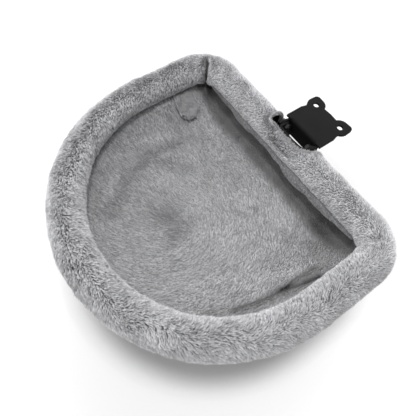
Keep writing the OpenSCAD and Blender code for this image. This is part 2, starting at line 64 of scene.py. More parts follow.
# Where the rim runs, read from the frame: a straight back, two corners, two flanks and a half-round front
rimLow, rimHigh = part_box("rim_cover")
rim = {"radius": (rimHigh.z - rimLow.z) / 2, "level": (rimHigh.z + rimLow.z) / 2, "cornerRadius": 38 * mm}
rim["backY"] = rimHigh.y - rim["radius"]
rim["halfWidth"] = rimHigh.x - rim["radius"]
rim["frontY"] = rimLow.y + rim["radius"] + rim["halfWidth"]
rim["cornerX"] = rim["halfWidth"] - rim["cornerRadius"]
rim["cornerY"] = rim["backY"] - rim["cornerRadius"]
bowlMiddleY = rim["backY"] - 147 * mm
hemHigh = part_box("notch_hem")[1]


def nearRim(points):
    # For each point: offset out from the rim's nearest centre line, and the way out of the bed there
    x, y = np.abs(points[:, 0]), points[:, 1]
    side = np.where(points[:, 0] < 0, -1.0, 1.0)
    zero, one = np.zeros(len(x)), np.ones(len(x))
    corner = np.clip(np.arctan2(y - rim["cornerY"], x - rim["cornerX"]), 0, math.pi / 2)
    front = np.clip(np.arctan2(y - rim["frontY"], x), -math.pi / 2, 0)
    runs = np.array([
        (np.minimum(x, rim["cornerX"]), rim["backY"] + zero, zero, one),
        (rim["cornerX"] + rim["cornerRadius"] * np.cos(corner),
         rim["cornerY"] + rim["cornerRadius"] * np.sin(corner), np.cos(corner), np.sin(corner)),
        (rim["halfWidth"] + zero, np.clip(y, rim["frontY"], rim["cornerY"]), one, zero),
        (rim["halfWidth"] * np.cos(front), rim["frontY"] + rim["halfWidth"] * np.sin(front),
         np.cos(front), np.sin(front))])
    nearest = np.hypot(x - runs[:, 0], y - runs[:, 1]).argmin(0)
    footX, footY, outX, outY = runs[nearest, :, np.arange(len(x))].T
    offset = (x - footX) * outX + (y - footY) * outY
    return offset, np.stack([outX * side, outY, zero], 1)


def ripple(points, wave, seed):
    # Smooth seeded unevenness, mostly between -1 and 1, whose bumps are about one wave apart
    count, draw = 7, np.random.default_rng(seed)
    total = np.zeros(len(points))
    for _ in range(count):
        heading = draw.normal(size=3)
        heading *= fullTurn / (wave * draw.uniform(0.7, 1.4) * np.linalg.norm(heading))
        total += np.sin(points @ heading + draw.uniform(0, fullTurn))
    return total / math.sqrt(count)


def easeBetween(values, low, high):
    share = np.clip((values - low) / (high - low), 0, 1)
    return share * share * (3 - 2 * share)


def unit(vectors):
    return vectors / np.maximum(np.linalg.norm(vectors, axis=1, keepdims=True), 1e-9)


def turnTowards(first, second, angle):
    return first * np.cos(angle)[:, None] + second * np.sin(angle)[:, None]


def outOfBack(points):
    # The way out of the roll along the straight side
    away = points - (0, rim["backY"], rim["level"])
    away[:, 0] = 0
    return unit(away)


def onBackSide(points):
    # From 0 inside the bed to 1 along the straight side
    return easeBetween(points[:, 1], rim["backY"] - 34 * mm, rim["backY"] - 6 * mm)


def flatten(vectors, normals):
    return unit(vectors - (vectors * normals).sum(1, keepdims=True) * normals)


def distanceToLine(points, corners):
    # Distance in plan to a line through the given corners, in millimetres there and here
    places, best = points[:, :2] / mm, np.full(len(points), 1e9)
    for a, b in zip(corners, corners[1:]):
        a, b = np.array(a, float), np.array(b, float)
        share = np.clip((places - a) @ (b - a) / ((b - a) @ (b - a)), 0, 1)
        best = np.minimum(best, np.linalg.norm(places - a - share[:, None] * (b - a), axis=1))
    return best


def readPoints(mesh):
    points = np.empty(len(mesh.vertices) * 3)
    mesh.vertices.foreach_get("co", points)
    return points.reshape(-1, 3)


def writePoints(mesh, points):
    mesh.vertices.foreach_set("co", np.asarray(points, float).ravel())
    mesh.update()


def addPiece(name, mesh, body="bed"):
    mesh.shade_smooth()
    piece = bpy.data.objects.new(name, mesh)
    scene.collection.objects.link(piece)
    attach(piece, body)
    return piece


def finishMesh(name, bm, body="bed", merge=0.02 * mm, outward=True):
    if merge:
        bmesh.ops.remove_doubles(bm, verts=bm.verts, dist=merge)
    if outward:
        bmesh.ops.recalc_face_normals(bm, faces=bm.faces)
    mesh = bpy.data.meshes.new(name)
    bm.to_mesh(mesh)
    bm.free()
    return addPiece(name, mesh, body)


def turnFacesUp(bm):
    bmesh.ops.recalc_face_normals(bm, faces=bm.faces)
    if sum(f.normal.z for f in bm.faces) < 0:
        bmesh.ops.reverse_faces(bm, faces=bm.faces)


def addModifier(piece, kind, **settings):
    modifier = piece.modifiers.new(kind.title(), kind)
    for name, value in settings.items():
        setattr(modifier, name, value)


def applyModifiers(piece):
    # Turns the piece's modifiers into its mesh
    made = bpy.data.meshes.new_from_object(piece.evaluated_get(bpy.context.evaluated_depsgraph_get()))
    made.name = piece.name
    piece.modifiers.clear()
    piece.data = made


def dress(piece, material):
    piece.data.materials.clear()
    piece.data.materials.append(material)


# Materials

def startMaterial(name):
    material = bpy.data.materials.new(name)
    material.use_nodes = True
    return material, material.node_tree, addNode(material.node_tree, "TexCoord").outputs["Object"]


def finishMaterial(material, inputs):
    setInputs(material.node_tree, material.node_tree.nodes["Principled BSDF"], inputs)
    return material


def setInputs(tree, node, inputs):
    # Sockets among the values are linked, the other values are set as constants
    for socket, value in inputs.items():
        if isinstance(value, bpy.types.NodeSocket):
            tree.links.new(value, node.inputs[socket])
        else:
            node.inputs[socket].default_value = value


def addNode(tree, kind, inputs=None, **settings):
    node = tree.nodes.new("ShaderNode" + kind)
    for name, value in settings.items():
        setattr(node, name, value)
    setInputs(tree, node, inputs or {})
    return node


def grey(level, blue=0.0):
    return (level, level, level * (1 + blue), 1)


def mixColours(tree, share, first, second, blend="MIX"):
    inputs = {0: share, 6: first, 7: second}
    return addNode(tree, "Mix", inputs, data_type="RGBA", blend_type=blend).outputs[2]


def noiseOf(tree, place, scale, detail=3.0, roughness=0.55):
    return addNode(tree, "TexNoise", {"Vector": place, "Scale": scale, "Detail": detail,
                                      "Roughness": roughness}).outputs["Fac"]


def rangeOf(tree, value, low, high, start=0.3, end=0.7):
    return addNode(tree, "MapRange", {"Value": value, "From Min": start, "From Max": end,
                                      "To Min": low, "To Max": high}).outputs["Result"]


def bumpOf(tree, height, strength, distance, under=None):
    inputs = {"Height": height, "Strength": strength, "Distance": distance}
    if under:
        inputs["Normal"] = under
    return addNode(tree, "Bump", inputs).outputs["Normal"]


def fibreMaterial(name, dark, light, patchShare, patch=30.0, cast=0.026):
    # Plush: dark between the roots and light at the tips, which partly paints the shade between the strands,
    # times the nap attribute, which holds each lock's tone and the painted light and shade, with soft patches
    # where the nap turns
    material, tree, place = startMaterial(name)
    tone = addNode(tree, "Attribute", attribute_name="tone").outputs["Fac"]
    lockToneAndPaintedLight = addNode(tree, "Attribute", attribute_name="nap").outputs["Fac"]
    strand = mixColours(tree, tone, grey(dark, cast), grey(light, cast))
    base = mixColours(tree, 1.0, strand, lockToneAndPaintedLight, "MULTIPLY")
    patches = rangeOf(tree, noiseOf(tree, place, patch, 2.0), 1 - patchShare, 1 + patchShare * 0.5)
    shaded = mixColours(tree, 1.0, base, patches, "MULTIPLY")
    return finishMaterial(material, {
        "Base Color": mixColours(tree, 1.0, shaded, grey(0.95, cast), "DARKEN"), "Roughness": 0.95,
        "Specular IOR Level": 0.12, "Sheen Weight": 0.55, "Sheen Roughness": 0.5})


def backingMaterial(name, dark, light):
    # The knitted backing that shows between the strands
    material, tree, place = startMaterial(name)
    fine = noiseOf(tree, place, 900.0, 2.0)
    return finishMaterial(material, {
        "Base Color": mixColours(tree, fine, grey(dark, 0.02), grey(light, 0.02)), "Roughness": 0.97,
        "Specular IOR Level": 0.08, "Normal": bumpOf(tree, fine, 0.6, 0.4 * mm)})


def coatMaterial(name, level, roughness, grain=2600.0, edge=0.35 * mm, highlightShare=0.5, sheen=0.4):
    # Satin powder coat or moulded finish: fine orange-peel grain, softened edges, and a painted highlight that
    # lightens the colour along the edges
    material, tree, place = startMaterial(name)
    smears = noiseOf(tree, place, 60.0, 4.0, 0.65)
    soft = addNode(tree, "Bevel", {"Radius": edge}, samples=6).outputs["Normal"]
    hard = addNode(tree, "NewGeometry").outputs["Normal"]
    turn = addNode(tree, "VectorMath", {0: soft, 1: hard}, operation="DOT_PRODUCT").outputs["Value"]
    # Painted highlight: the colour is lightened where the softened edge normal turns away from the true one
    paintedEdgeHighlight = rangeOf(tree, turn, 0.0, highlightShare, 0.99, 0.75)
    tint = mixColours(tree, smears, grey(level * 0.85), grey(level * 1.2))
    return finishMaterial(material, {
        "Base Color": mixColours(tree, paintedEdgeHighlight, tint, grey(level * 3 + 0.05)), "Specular IOR Level": sheen,
        "Roughness": rangeOf(tree, smears, roughness - 0.07, roughness + 0.08),
        "Normal": bumpOf(tree, noiseOf(tree, place, grain, 2.0), 0.12, 0.12 * mm, soft)})


def metalMaterial(name, level, roughness):
    # Zinc plate with faint drawing lines and a cloudy sheen
    material, tree, place = startMaterial(name)
    drawn = addNode(tree, "Mapping", {"Vector": place, "Scale": (1.0, 1.0, 12.0)}).outputs["Vector"]
    lines = noiseOf(tree, drawn, 700.0, 3.0, 0.7)
    clouds = noiseOf(tree, place, 180.0)
    soft = addNode(tree, "Bevel", {"Radius": 0.25 * mm}, samples=6).outputs["Normal"]
    return finishMaterial(material, {
        "Base Color": mixColours(tree, clouds, grey(level * 0.8, -0.01), grey(level * 1.15, -0.01)),
        "Metallic": 1.0, "Roughness": rangeOf(tree, lines, roughness - 0.08, roughness + 0.1),
        "Normal": bumpOf(tree, lines, 0.15, 0.05 * mm, soft)})


def foamMaterial(name, dark, light, cell=1400.0):
    material, tree, place = startMaterial(name)
    cells = addNode(tree, "TexVoronoi", {"Vector": place, "Scale": cell}).outputs["Distance"]
    return finishMaterial(material, {
        "Base Color": mixColours(tree, cells, grey(dark), grey(light)), "Roughness": 0.95,
        "Normal": bumpOf(tree, cells, 0.8, 0.5 * mm)})


def wovenMaterial(name, dark, light, thread=0.55 * mm):
    # Plain weave: threads across and along, over and under in turn
    material, tree, place = startMaterial(name)
    wobble = addNode(tree, "TexNoise", {"Vector": place, "Scale": 500.0}).outputs["Color"]
    bent = addNode(tree, "VectorMath", {0: wobble, 1: (0.12 * mm,) * 3, 2: place},
                   operation="MULTIPLY_ADD").outputs["Vector"]
    warp, weft = (addNode(tree, "TexWave", {"Vector": bent, "Scale": math.pi / (10 * thread)},
                          bands_direction=way).outputs["Fac"] for way in "XY")
    over = addNode(tree, "TexChecker", {"Vector": bent, "Scale": 1 / thread}).outputs["Fac"]
    height = addNode(tree, "Mix", {0: over, 2: warp, 3: weft}).outputs[0]
    tint = mixColours(tree, height, grey(dark, 0.02), grey(light, 0.02))
    faded = mixColours(tree, noiseOf(tree, place, 18.0), grey(dark), grey(light))
    return finishMaterial(material, {
        "Base Color": mixColours(tree, 0.25, tint, faded), "Roughness": 0.88, "Sheen Weight": 0.15,
        "Normal": bumpOf(tree, height, 0.7, 0.25 * mm)})


def rubberMaterial(name, level):
    material, tree, place = startMaterial(name)
    dust = noiseOf(tree, place, 220.0, 5.0, 0.7)
    return finishMaterial(material, {
        "Base Color": mixColours(tree, dust, grey(level), grey(level * 2.2)), "Specular IOR Level": 0.25,
        "Roughness": rangeOf(tree, dust, 0.68, 0.9, 0.0, 1.0),
        "Normal": bumpOf(tree, noiseOf(tree, place, 1800.0, 2.0), 0.35, 0.15 * mm)})


def threadMaterial(name, dark, light):
    # Twisted sewing thread and rough tape
    material, tree, place = startMaterial(name)
    fuzz = noiseOf(tree, place, 2200.0, 3.0, 0.7)
    return finishMaterial(material, {
        "Base Color": mixColours(tree, fuzz, grey(dark), grey(light)), "Roughness": 0.85,
        "Normal": bumpOf(tree, fuzz, 0.9, 0.3 * mm)})


finish = {
    "rimPlush": fibreMaterial("rimPlush", 0.06, 0.97, patchShare=0.04),
    "linerPlush": fibreMaterial("linerPlush", 0.30, 0.94, patch=24.0, patchShare=0.08),
    "rimBacking": backingMaterial("rimBacking", 0.10, 0.20),
    "linerBacking": backingMaterial("linerBacking", 0.24, 0.36),
    "hem": backingMaterial("hem", 0.50, 0.68),
    # The lining is near black to paint the shade inside the sleeves' mouths; the foam's dark grey partly does
    # the same
    "lining": backingMaterial("lining", 0.012, 0.03),
    "foam": foamMaterial("foam", 0.03, 0.11),
    "wadding": foamMaterial("wadding", 0.55, 0.85, 700.0),
    "baseCloth": wovenMaterial("baseCloth", 0.035, 0.11),
    "thread": threadMaterial("thread", 0.10, 0.26),
    "tape": threadMaterial("tape", 0.015, 0.06),
    "steel": coatMaterial("steel", 0.009, 0.6, sheen=0.06),
    "tube": coatMaterial("tube", 0.008, 0.5, highlightShare=0.15, sheen=0.1),
    "blackHardware": coatMaterial("blackHardware", 0.008, 0.42, edge=0.3 * mm, highlightShare=0.35, sheen=0.3),
    "knob": coatMaterial("knob", 0.012, 0.5, grain=1500.0, highlightShare=0.12, sheen=0.5),
    "zinc": metalMaterial("zinc", 0.42, 0.36),
    "rubber": rubberMaterial("rubber", 0.012),
}
print("materials made:", len(finish))


# Pile: real strands, grown over a surface

def scramble(cells, seed):
    # A repeatable draw between 0 and 1 for each cell of a grid
    x, y, z = (cells[..., axis] for axis in range(3))
    mixed = (x * 73856093) ^ (y * 19349663) ^ (z * 83492791) ^ (seed * 2654435761)
    mixed = (mixed ^ (mixed >> 13)) * 1274126177 & 0xFFFFFFFF
    mixed = (mixed ^ (mixed >> 16)) * 2246822519 & 0xFFFFFFFF
    return ((mixed ^ (mixed >> 15)) & 0xFFFFFF) / float(0x1000000)


def findLocks(roots, lay, size, stretch, seed):
    # The lock that each strand belongs to: the middle of the nearest cell, cells being long along the nap
    home = np.floor(roots / size).astype(np.int64)
    best, middle, chance = np.full(len(roots), 1e9), np.zeros_like(roots), np.zeros(len(roots))
    for step in np.ndindex(3, 3, 3):
        cell = home + np.array(step) - 1
        spot = (cell + np.stack([scramble(cell, seed + axis) for axis in (1, 2, 3)], 1)) * size
        gap = spot - roots
        along = (gap * lay).sum(1)
        far = (gap * gap).sum(1) - (1 - 1 / stretch ** 2) * along * along
        closer = far < best
        best[closer], middle[closer] = far[closer], spot[closer]
        chance[closer] = scramble(cell, seed + 7)[closer]
    return middle - roots, chance


def sortByPlace(corners, points):
    # Triangles in the order of their places, because the mesh operators leave their own order to chance
    rank = np.empty(len(points), int)
    rank[np.lexsort(np.round(points, 7).T)] = np.arange(len(points))
    first = rank[corners].argmin(1)
    corners = np.take_along_axis(corners, (first[:, None] + np.arange(3)) % 3, 1)
    return corners[np.lexsort(rank[corners].T[::-1])]


def sowRoots(mesh, count, draw):
    # Roots sown by area over the mesh, and the way out of its surface at each
    mesh.calc_loop_triangles()
    corners = np.empty(len(mesh.loop_triangles) * 3, np.int32)
    mesh.loop_triangles.foreach_get("vertices", corners)
    points, normals = readPoints(mesh), np.empty(len(mesh.vertices) * 3)
    mesh.vertex_normals.foreach_get("vector", normals)
    corners = sortByPlace(corners.reshape(-1, 3), points)
    a, b, c = points[corners].transpose(1, 0, 2)
    area = np.linalg.norm(np.cross(b - a, c - a), axis=1) / 2
    places = (np.arange(count) + draw.random(count)) / count
    chosen = corners[np.searchsorted(np.cumsum(area) / area.sum(), places)]
    first, second = np.sqrt(draw.random(count)), draw.random(count)
    shares = np.stack([1 - first, first * (1 - second), first * second], 1)[:, :, None]
    return (points[chosen] * shares).sum(1), unit((normals.reshape(-1, 3)[chosen] * shares).sum(1))


def growPile(name, surface, pile, material, nap, trim=None, shade=None):
    # Strands laid along the nap and drawn together in locks; trim scales their length, shade their tone
    draw = np.random.default_rng(pile["seed"])
    count, wave, seed = pile["strands"], pile["wave"], pile["seed"]
    roots, up = sowRoots(surface.data, count, draw)
    lay, lean = nap(roots, up)
    lay = flatten(lay, up)
    sweep = pile["wander"] * ripple(roots, wave, seed + 1) + pile["curl"] * ripple(roots, wave / 4, seed + 2)
    cellSize = pile["lock"] * np.array(pile.get("cells", (1, 1, 1)))
    towards, chance = findLocks(roots, lay, cellSize, pile["stretch"], seed)
    sweep += pile["part"] * (chance - 0.5) + pile["stray"] * draw.normal(size=count)
    lay = turnTowards(lay, np.cross(up, lay), sweep)
    towards -= (towards * up).sum(1, keepdims=True) * up
    far = np.maximum(np.linalg.norm(towards, axis=1), 1e-9)
    towards *= pile["gather"] * np.minimum(1, pile["lock"] / far)[:, None]
    length = pile["length"] * (0.82 + 0.36 * draw.random(count)) * (0.86 + 0.28 * chance)
    if trim:
        length *= trim(roots, up)
    halfLength = (length * 0.5)[:, None]
    lean = lean + pile["toss"] * draw.normal(size=count) + 0.25 * (chance - 0.5)
    middle = roots + turnTowards(up, lay, lean * 0.55) * halfLength + towards * 0.35
    tip = middle + turnTowards(up, lay, np.minimum(lean * 1.2, 1.72)) * halfLength + towards * 0.65
    run = unit(tip - roots)
    across = unit(np.cross(run, up))
    across = turnTowards(across, np.cross(run, across), pile["roll"] * draw.normal(size=count))
    half = across * (pile["width"] / 2 * (0.75 + 0.5 * draw.random(count)))[:, None]
    strands = np.stack([roots - half, roots + half, middle - half * 0.85, middle + half * 0.85, tip], 1)
    # Each lock's tone, times the shade function's painted light and shade
    lockToneAndPaintedLight = pile["level"] * (1 + pile["uneven"] * (chance - 0.5) + 0.06 * draw.normal(size=count))
    if shade:
        lockToneAndPaintedLight *= shade(roots, up)
    order = np.argsort(np.arctan2(roots[:, 1] - bowlMiddleY, roots[:, 0]))
    for index, part in enumerate(np.array_split(order, pile["pieces"])):
        dress(buildStrands(f"{name}{index + 1}", strands[part], pile["tones"], lockToneAndPaintedLight[part]), material)


def buildStrands(name, strands, tones, lockToneAndPaintedLight):
    # Each strand is a four-sided face with a three-sided one at its tip
    count = len(strands)
    mesh = bpy.data.meshes.new(name)
    mesh.vertices.add(count * 5)
    mesh.vertices.foreach_set("co", strands.ravel())
    pattern = np.array([0, 1, 3, 2, 2, 3, 4])
    mesh.loops.add(count * 7)
    mesh.loops.foreach_set("vertex_index", (np.arange(count)[:, None] * 5 + pattern).ravel())
    mesh.polygons.add(count * 2)
    mesh.polygons.foreach_set("loop_start", (np.arange(count)[:, None] * 7 + np.array([0, 4])).ravel())
    mesh.update(calc_edges=True)
    # The nap attribute holds each lock's tone and the painted light and shade
    levels = {"tone": np.tile(tones, count), "nap": np.repeat(np.clip(lockToneAndPaintedLight, 0, 1.5), 5)}
    for attribute, values in levels.items():
        mesh.attributes.new(attribute, "FLOAT", "POINT").data.foreach_set("value", values)
    return addPiece(name, mesh)


# The padded rim

def edgesOf(verts):
    # The edges that join these vertices, each of them once
    inside = set(verts)
    linked = dict.fromkeys(e for v in verts for e in v.link_edges)
    return [e for e in linked if e.verts[0] in inside and e.verts[1] in inside]


def vertsIn(geom):
    return [v for v in geom if isinstance(v, bmesh.types.BMVert)]


def pushRing(bm, ring, move=(0, 0, 0), steps=1):
    # Extrudes the vertices a step at a time, and gives the last ones
    for _ in range(steps):
        ring = vertsIn(bmesh.ops.extrude_edge_only(bm, edges=edgesOf(ring))["geom"])
        bmesh.ops.translate(bm, verts=ring, vec=Vector(move) / steps)
    return ring


def turnRing(bm, ring, centre, steps):
    made = bmesh.ops.spin(bm, geom=ring + edgesOf(ring), cent=centre, axis=(0, 0, 1), angle=-math.pi / 2,
                          steps=steps, use_merge=False)
    return vertsIn(made["geom_last"])


def sweepRim(radius, sides, step):
    # A tube along the rim's whole path: the right half is swept, then mirrored
    bm = bmesh.new()
    place = Matrix.Translation((0, rim["backY"], rim["level"])) @ Matrix.Rotation(math.pi / 2, 4, "Y")
    ring = bmesh.ops.create_circle(bm, segments=sides, radius=radius, matrix=place)["verts"]
    ring = pushRing(bm, ring, (rim["cornerX"], 0, 0), round(rim["cornerX"] / step))
    ring = turnRing(bm, ring, (rim["cornerX"], rim["cornerY"], rim["level"]), 44)
    flank = rim["cornerY"] - rim["frontY"]
    ring = pushRing(bm, ring, (0, -flank, 0), round(flank / step))
    turnRing(bm, ring, (0, rim["frontY"], rim["level"]), round(rim["halfWidth"] * math.pi / 2 / step))
    bmesh.ops.mirror(bm, geom=bm.verts[:] + bm.edges[:] + bm.faces[:], merge_dist=0.01 * mm, axis="X")
    return bm


def notchWalls(half, behind, corners):
    # The planes round the notch, each as a point and the way into it: the front, then each end with its corner
    walls = [(Vector((0, behind, 0)), Vector((0, 1, 0)))]
    for side, corner in zip((-1, 1), corners):
        middle = Vector((side * (half - corner), behind + corner, 0))
        for turn in range(0, 90, 15):
            way = Vector((-side * math.cos(math.radians(turn)), math.sin(math.radians(turn)), 0))
            walls.append((middle - way * corner, way))
    return walls


def notchGap(points):
    # Distance in plan out of the notch
    corner = np.where(points[:, 0] < 0, *roll["notchCorners"])
    across = np.abs(points[:, 0]) - (roll["notchHalf"] - corner)
    deep = points[:, 1] - (roll["notchBack"] + corner)
    straight = np.maximum(across - corner, -deep - corner)
    return np.where((across > 0) & (deep < 0), np.hypot(across, deep) - corner, straight)


def notchMiddle(points):
    # The place inside the notch that each point faces
    corner = np.where(points[:, 0] < 0, *roll["notchCorners"])
    inner = roll["notchHalf"] - corner
    return np.stack([np.clip(points[:, 0], -inner, inner), roll["notchBack"] + corner, points[:, 2]], 1)


def roundedPlace(place):
    return tuple(round(c, 7) for c in place)


def settleOrder(bm):
    # The mesh's elements in the order of their places, so that cutting and merging go the same way every time
    middles = ((bm.verts, lambda v: v.co), (bm.edges, lambda e: (e.verts[0].co + e.verts[1].co) / 2),
               (bm.faces, lambda f: f.calc_center_median()))
    for elements, middleOf in middles:
        placed = sorted(elements, key=lambda element: roundedPlace(middleOf(element)))
        elements.sort(key={element: index for index, element in enumerate(placed)}.get)


def cutNotch(bm, half, behind, corners):
    # Takes out what lies inside all of the notch's walls
    settleOrder(bm)
    centres = {f: f.calc_center_median() for f in bm.faces}
    middle = [f for f, at in centres.items() if abs(at.x) < half + 8 * mm and at.y > rim["cornerY"]]
    walls = notchWalls(half, behind, corners)
    for place, way in walls:
        near = [v for f in middle for v in f.verts] + [e for f in middle for e in f.edges] + middle
        near = list(dict.fromkeys(near))
        cut = bmesh.ops.bisect_plane(bm, geom=near, dist=0.001 * mm, plane_co=place, plane_no=way)
        middle = [f for f in cut["geom"] if isinstance(f, bmesh.types.BMFace)]
    gone = [f for f in middle if all((f.calc_center_median() - place).dot(way) > 0 for place, way in walls)]
    bmesh.ops.delete(bm, geom=gone, context="FACES")
    settleOrder(bm)


def creaseAt(points, side):
    # How deep a point lies in a back corner's crease, and how far up the swell on both sides of it
    offset, out = nearRim(points)
    height = points[:, 2] - rim["level"]
    reach = np.maximum(np.hypot(offset, height), 1e-6)
    inner = easeBetween(-offset / reach, -0.45, 0.45) * easeBetween(height / reach, -0.9, 0.2)
    dx, dy = points[:, 0] * side - rim["cornerX"], points[:, 1] - rim["cornerY"]
    inner = inner * (dx + dy > -10 * mm) * (points[:, 0] * side > 0)
    slant = np.abs(dy - dx) / math.sqrt(2)
    width = roll["creaseWidth"] * (0.55 + 0.85 * inner)
    shoulder = np.exp(-((slant - 2.6 * width) / (1.6 * width)) ** 2)
    return inner * np.exp(-(slant / width) ** 2), inner * shoulder


def swellRim(points):
    # Hand-stuffed unevenness, and the creases where the cover turns the back corners
    offset, out = nearRim(points)
    height = points[:, 2] - rim["level"]
    reach = np.maximum(np.hypot(offset, height), 1e-6)
    bulge = roll["lump"] * ripple(points, 75 * mm, 11) + roll["ripple"] * ripple(points, 22 * mm, 12)
    for side, depth in ((-1, roll["leftCrease"]), (1, roll["rightCrease"])):
        fold, shoulder = creaseAt(points, side)
        bulge += depth * (0.3 * shoulder - fold)
    atEnds = easeBetween(np.abs(np.abs(points[:, 0]) - roll["notchHalf"]), 0, 14 * mm)
    bulge *= np.where(points[:, 1] > rim["backY"] - 30 * mm, atEnds, 1)
    grown = 1 + bulge / reach
    shift = out * (offset * (grown - 1))[:, None]
    shift[:, 2] = height * (grown - 1)
    return points + shift


roll = {
    "surface": 18.9 * mm,     # radius of the backing under the pile
    "sides": 60, "step": 3.6 * mm,
    "lump": 0.35 * mm, "ripple": 0.25 * mm,
    "leftCrease": 9.5 * mm, "rightCrease": 3.0 * mm, "creaseWidth": 2.4 * mm,
    "notchHalf": hemHigh.x + 0.2 * mm, "notchBack": rim["backY"] - 10.6 * mm,
    "notchCorners": (9 * mm, 26 * mm),     # tight at the left end, wide at the right
    # The way in plan from which the painted light on the plush falls
    "paintedLightFrom": np.array((-0.83, 0.55, 0.0)),
}


def makeRim():
    bm = sweepRim(roll["surface"], roll["sides"], roll["step"])
    cutNotch(bm, roll["notchHalf"], roll["notchBack"], roll["notchCorners"])
    cover = finishMesh("rimCover", bm)
    writePoints(cover.data, swellRim(readPoints(cover.data)))
    dress(cover, finish["rimBacking"])
    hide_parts("rim_cover")
    return cover


rimPile = {
    "seed": 21, "strands": 300000, "pieces": 5,
    "length": 5.0 * mm, "width": 0.56 * mm,
    "lock": 1.15 * mm, "stretch": 2.0, "gather": 0.85, "part": 0.8, "uneven": 0.7, "level": 0.95,
    "wave": 34 * mm, "wander": 0.4, "curl": 0.2, "stray": 0.16, "toss": 0.15, "roll": 0.45,
    "tones": (0.0, 0.0, 0.52, 0.52, 1.0),
    "crestLean": 0.85, "sideLean": 1.0, "crestWidth": 0.8, "flow": 0.8,
}


def rimNap(roots, up):
    # The strands part along the crest and lie down both sides of the roll
    offset, out = nearRim(roots)
    turn = np.arctan2(roots[:, 2] - rim["level"], offset)
    fromCrest = (turn - math.pi / 2 - 0.22 * ripple(roots, 60 * mm, 31) + math.pi) % fullTurn - math.pi
    down = np.tanh(fromCrest / 0.7 + 0.2 * ripple(roots, 14 * mm, 35))
    sideways = -np.sin(turn)[:, None] * out
    sideways[:, 2] = np.cos(turn)
    forward = np.stack([-out[:, 1], out[:, 0], np.zeros(len(roots))], 1)
    flow = rimPile["flow"] + 0.2 * ripple(roots, 90 * mm, 32) + 0.12 * ripple(roots, 24 * mm, 36)
    lay = sideways * down[:, None] + forward * flow[:, None]
    turned = 1 - easeBetween(notchGap(roots), 2 * mm, 11 * mm)
    turned *= easeBetween(roots[:, 0], -30 * mm, -16 * mm) * (roots[:, 1] > rim["backY"] - 20 * mm)
    into = notchMiddle(roots) - roots
    into[:, 2] = 0
    lay += 2.5 * turned[:, None] * (unit(into) - lay)
    low, high = rimPile["crestLean"], rimPile["sideLean"]
    return lay, low + (high - low) * easeBetween(np.abs(fromCrest), 0.1, rimPile["crestWidth"])


def rimTrim(roots, up):
    # Shorter along the straight side, and clipped close round the notch
    backSide = onBackSide(roots)
    straight = backSide * (1 - easeBetween(np.abs(roots[:, 0]), 120 * mm, 150 * mm))
    least = 0.35 + 0.85 * easeBetween(roots[:, 0], -32 * mm, -18 * mm)
    clip = np.where(backSide > 0, least + (1 - least) * easeBetween(notchGap(roots), 1 * mm, 12 * mm), 1)
    front = easeBetween(-roots[:, 1], 120 * mm, 290 * mm)
    offset, out = nearRim(roots)
    seam = easeBetween(np.arctan2(roots[:, 2] - rim["level"], -offset), -0.75, 0.1)
    inside = np.where(offset < 0, 0.3 + 0.7 * seam, 1)
    fold = 1 - 0.65 * creaseAt(roots, -1)[0]
    trim = (0.82 - 0.22 * straight + 0.3 * front) * clip * inside * fold
    return trim * (1 + 0.1 * ripple(roots, 14 * mm, 33))


def rimShade(roots, up):
    # Painted light and shade on the rim: lighter on the side towards the painted light, most of all on its
    # outer flank, and along the straight side; painted shade in the seam, the crease and beside the rolled hem;
    # and a faint tone that differs at random
    offset, out = nearRim(roots)
    towardsPaintedLight = easeBetween(out @ roll["paintedLightFrom"], -0.8, 0.1)
    # Painted highlight on the outer flank, on the side towards the painted light
    outer = easeBetween(offset, 2 * mm, 16 * mm) * towardsPaintedLight
    turn = np.arctan2(roots[:, 2] - rim["level"], -offset)
    seam = np.exp(-((turn + 0.62) / 0.13) ** 2) * (offset < 0) * towardsPaintedLight
    hemGapShade = np.exp(-((notchGap(roots) - 1.5 * mm) / 1.6 / mm) ** 2) * (roots[:, 0] < -20 * mm)
    shade = 0.93 + 0.12 * towardsPaintedLight + 0.52 * outer + 0.2 * onBackSide(roots) - 0.35 * seam
    shade += 0.05 * ripple(roots, 45 * mm, 34)
    return shade * (1 - 0.75 * creaseAt(roots, -1)[0]) * (1 - 0.45 * hemGapShade)


rimCover = makeRim()
growPile("rimPile", rimCover, rimPile, finish["rimPlush"], rimNap, rimTrim, rimShade)
print("rim made")


# The hammock: plush liner, wadding and base cloth hang from the rim in one bowl

bowl = {
    "linerTop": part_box("plush_liner")[0].z,
    "linerThick": 3 * mm, "waddingThick": 8 * mm, "baseThick": 1.5 * mm,
    "gap": 0.3 * mm, "lie": rim["radius"] + 0.45 * mm, "seam": roll["surface"] - 0.6 * mm, "power": 3.0,
    "roundAngles": (35, 45, 46, 62, 63, 68), "straightAngles": (72, 80, 81, 92, 93, 98),
    "middleY": bowlMiddleY, "sewnLayers": (0, 4), "looseShare": 0.93,
}
bowl["sag"] = rim["level"] - bowl["linerTop"] - bowl["linerThick"]
bowlDepths = np.cumsum([bowl["sag"], bowl["linerThick"], bowl["gap"], bowl["waddingThick"], bowl["gap"],
                        bowl["baseThick"]])

# Folds of the liner, each a line in plan in millimetres with its height and its half width
linerFolds = [
    (((-114, -128), (-115, -168), (-103, -214), (-73, -250)), 1.9, 8),
    (((-73, -138), (-92, -191), (-84, -218), (-49, -261)), -1.7, 10),
    (((127, -205), (134, -183), (139, -160), (141, -141), (140, -122), (144, -98)), -4.2, 3.6),
    (((143, -146), (149, -130), (154, -108)), -3.4, 3.4),
    (((118, -200), (124, -172), (127, -142), (127, -112)), 2.4, 8),
    (((136, -200), (144, -172), (149, -150)), 2.4, 5),
    (((146, -118), (150, -98), (156, -80)), 2.6, 5),
    (((-30, -262), (10, -268), (52, -262)), 1.2, 12),
    (((-128, -60), (-60, -78), (10, -84), (80, -80), (128, -66)), -1.4, 12),
]


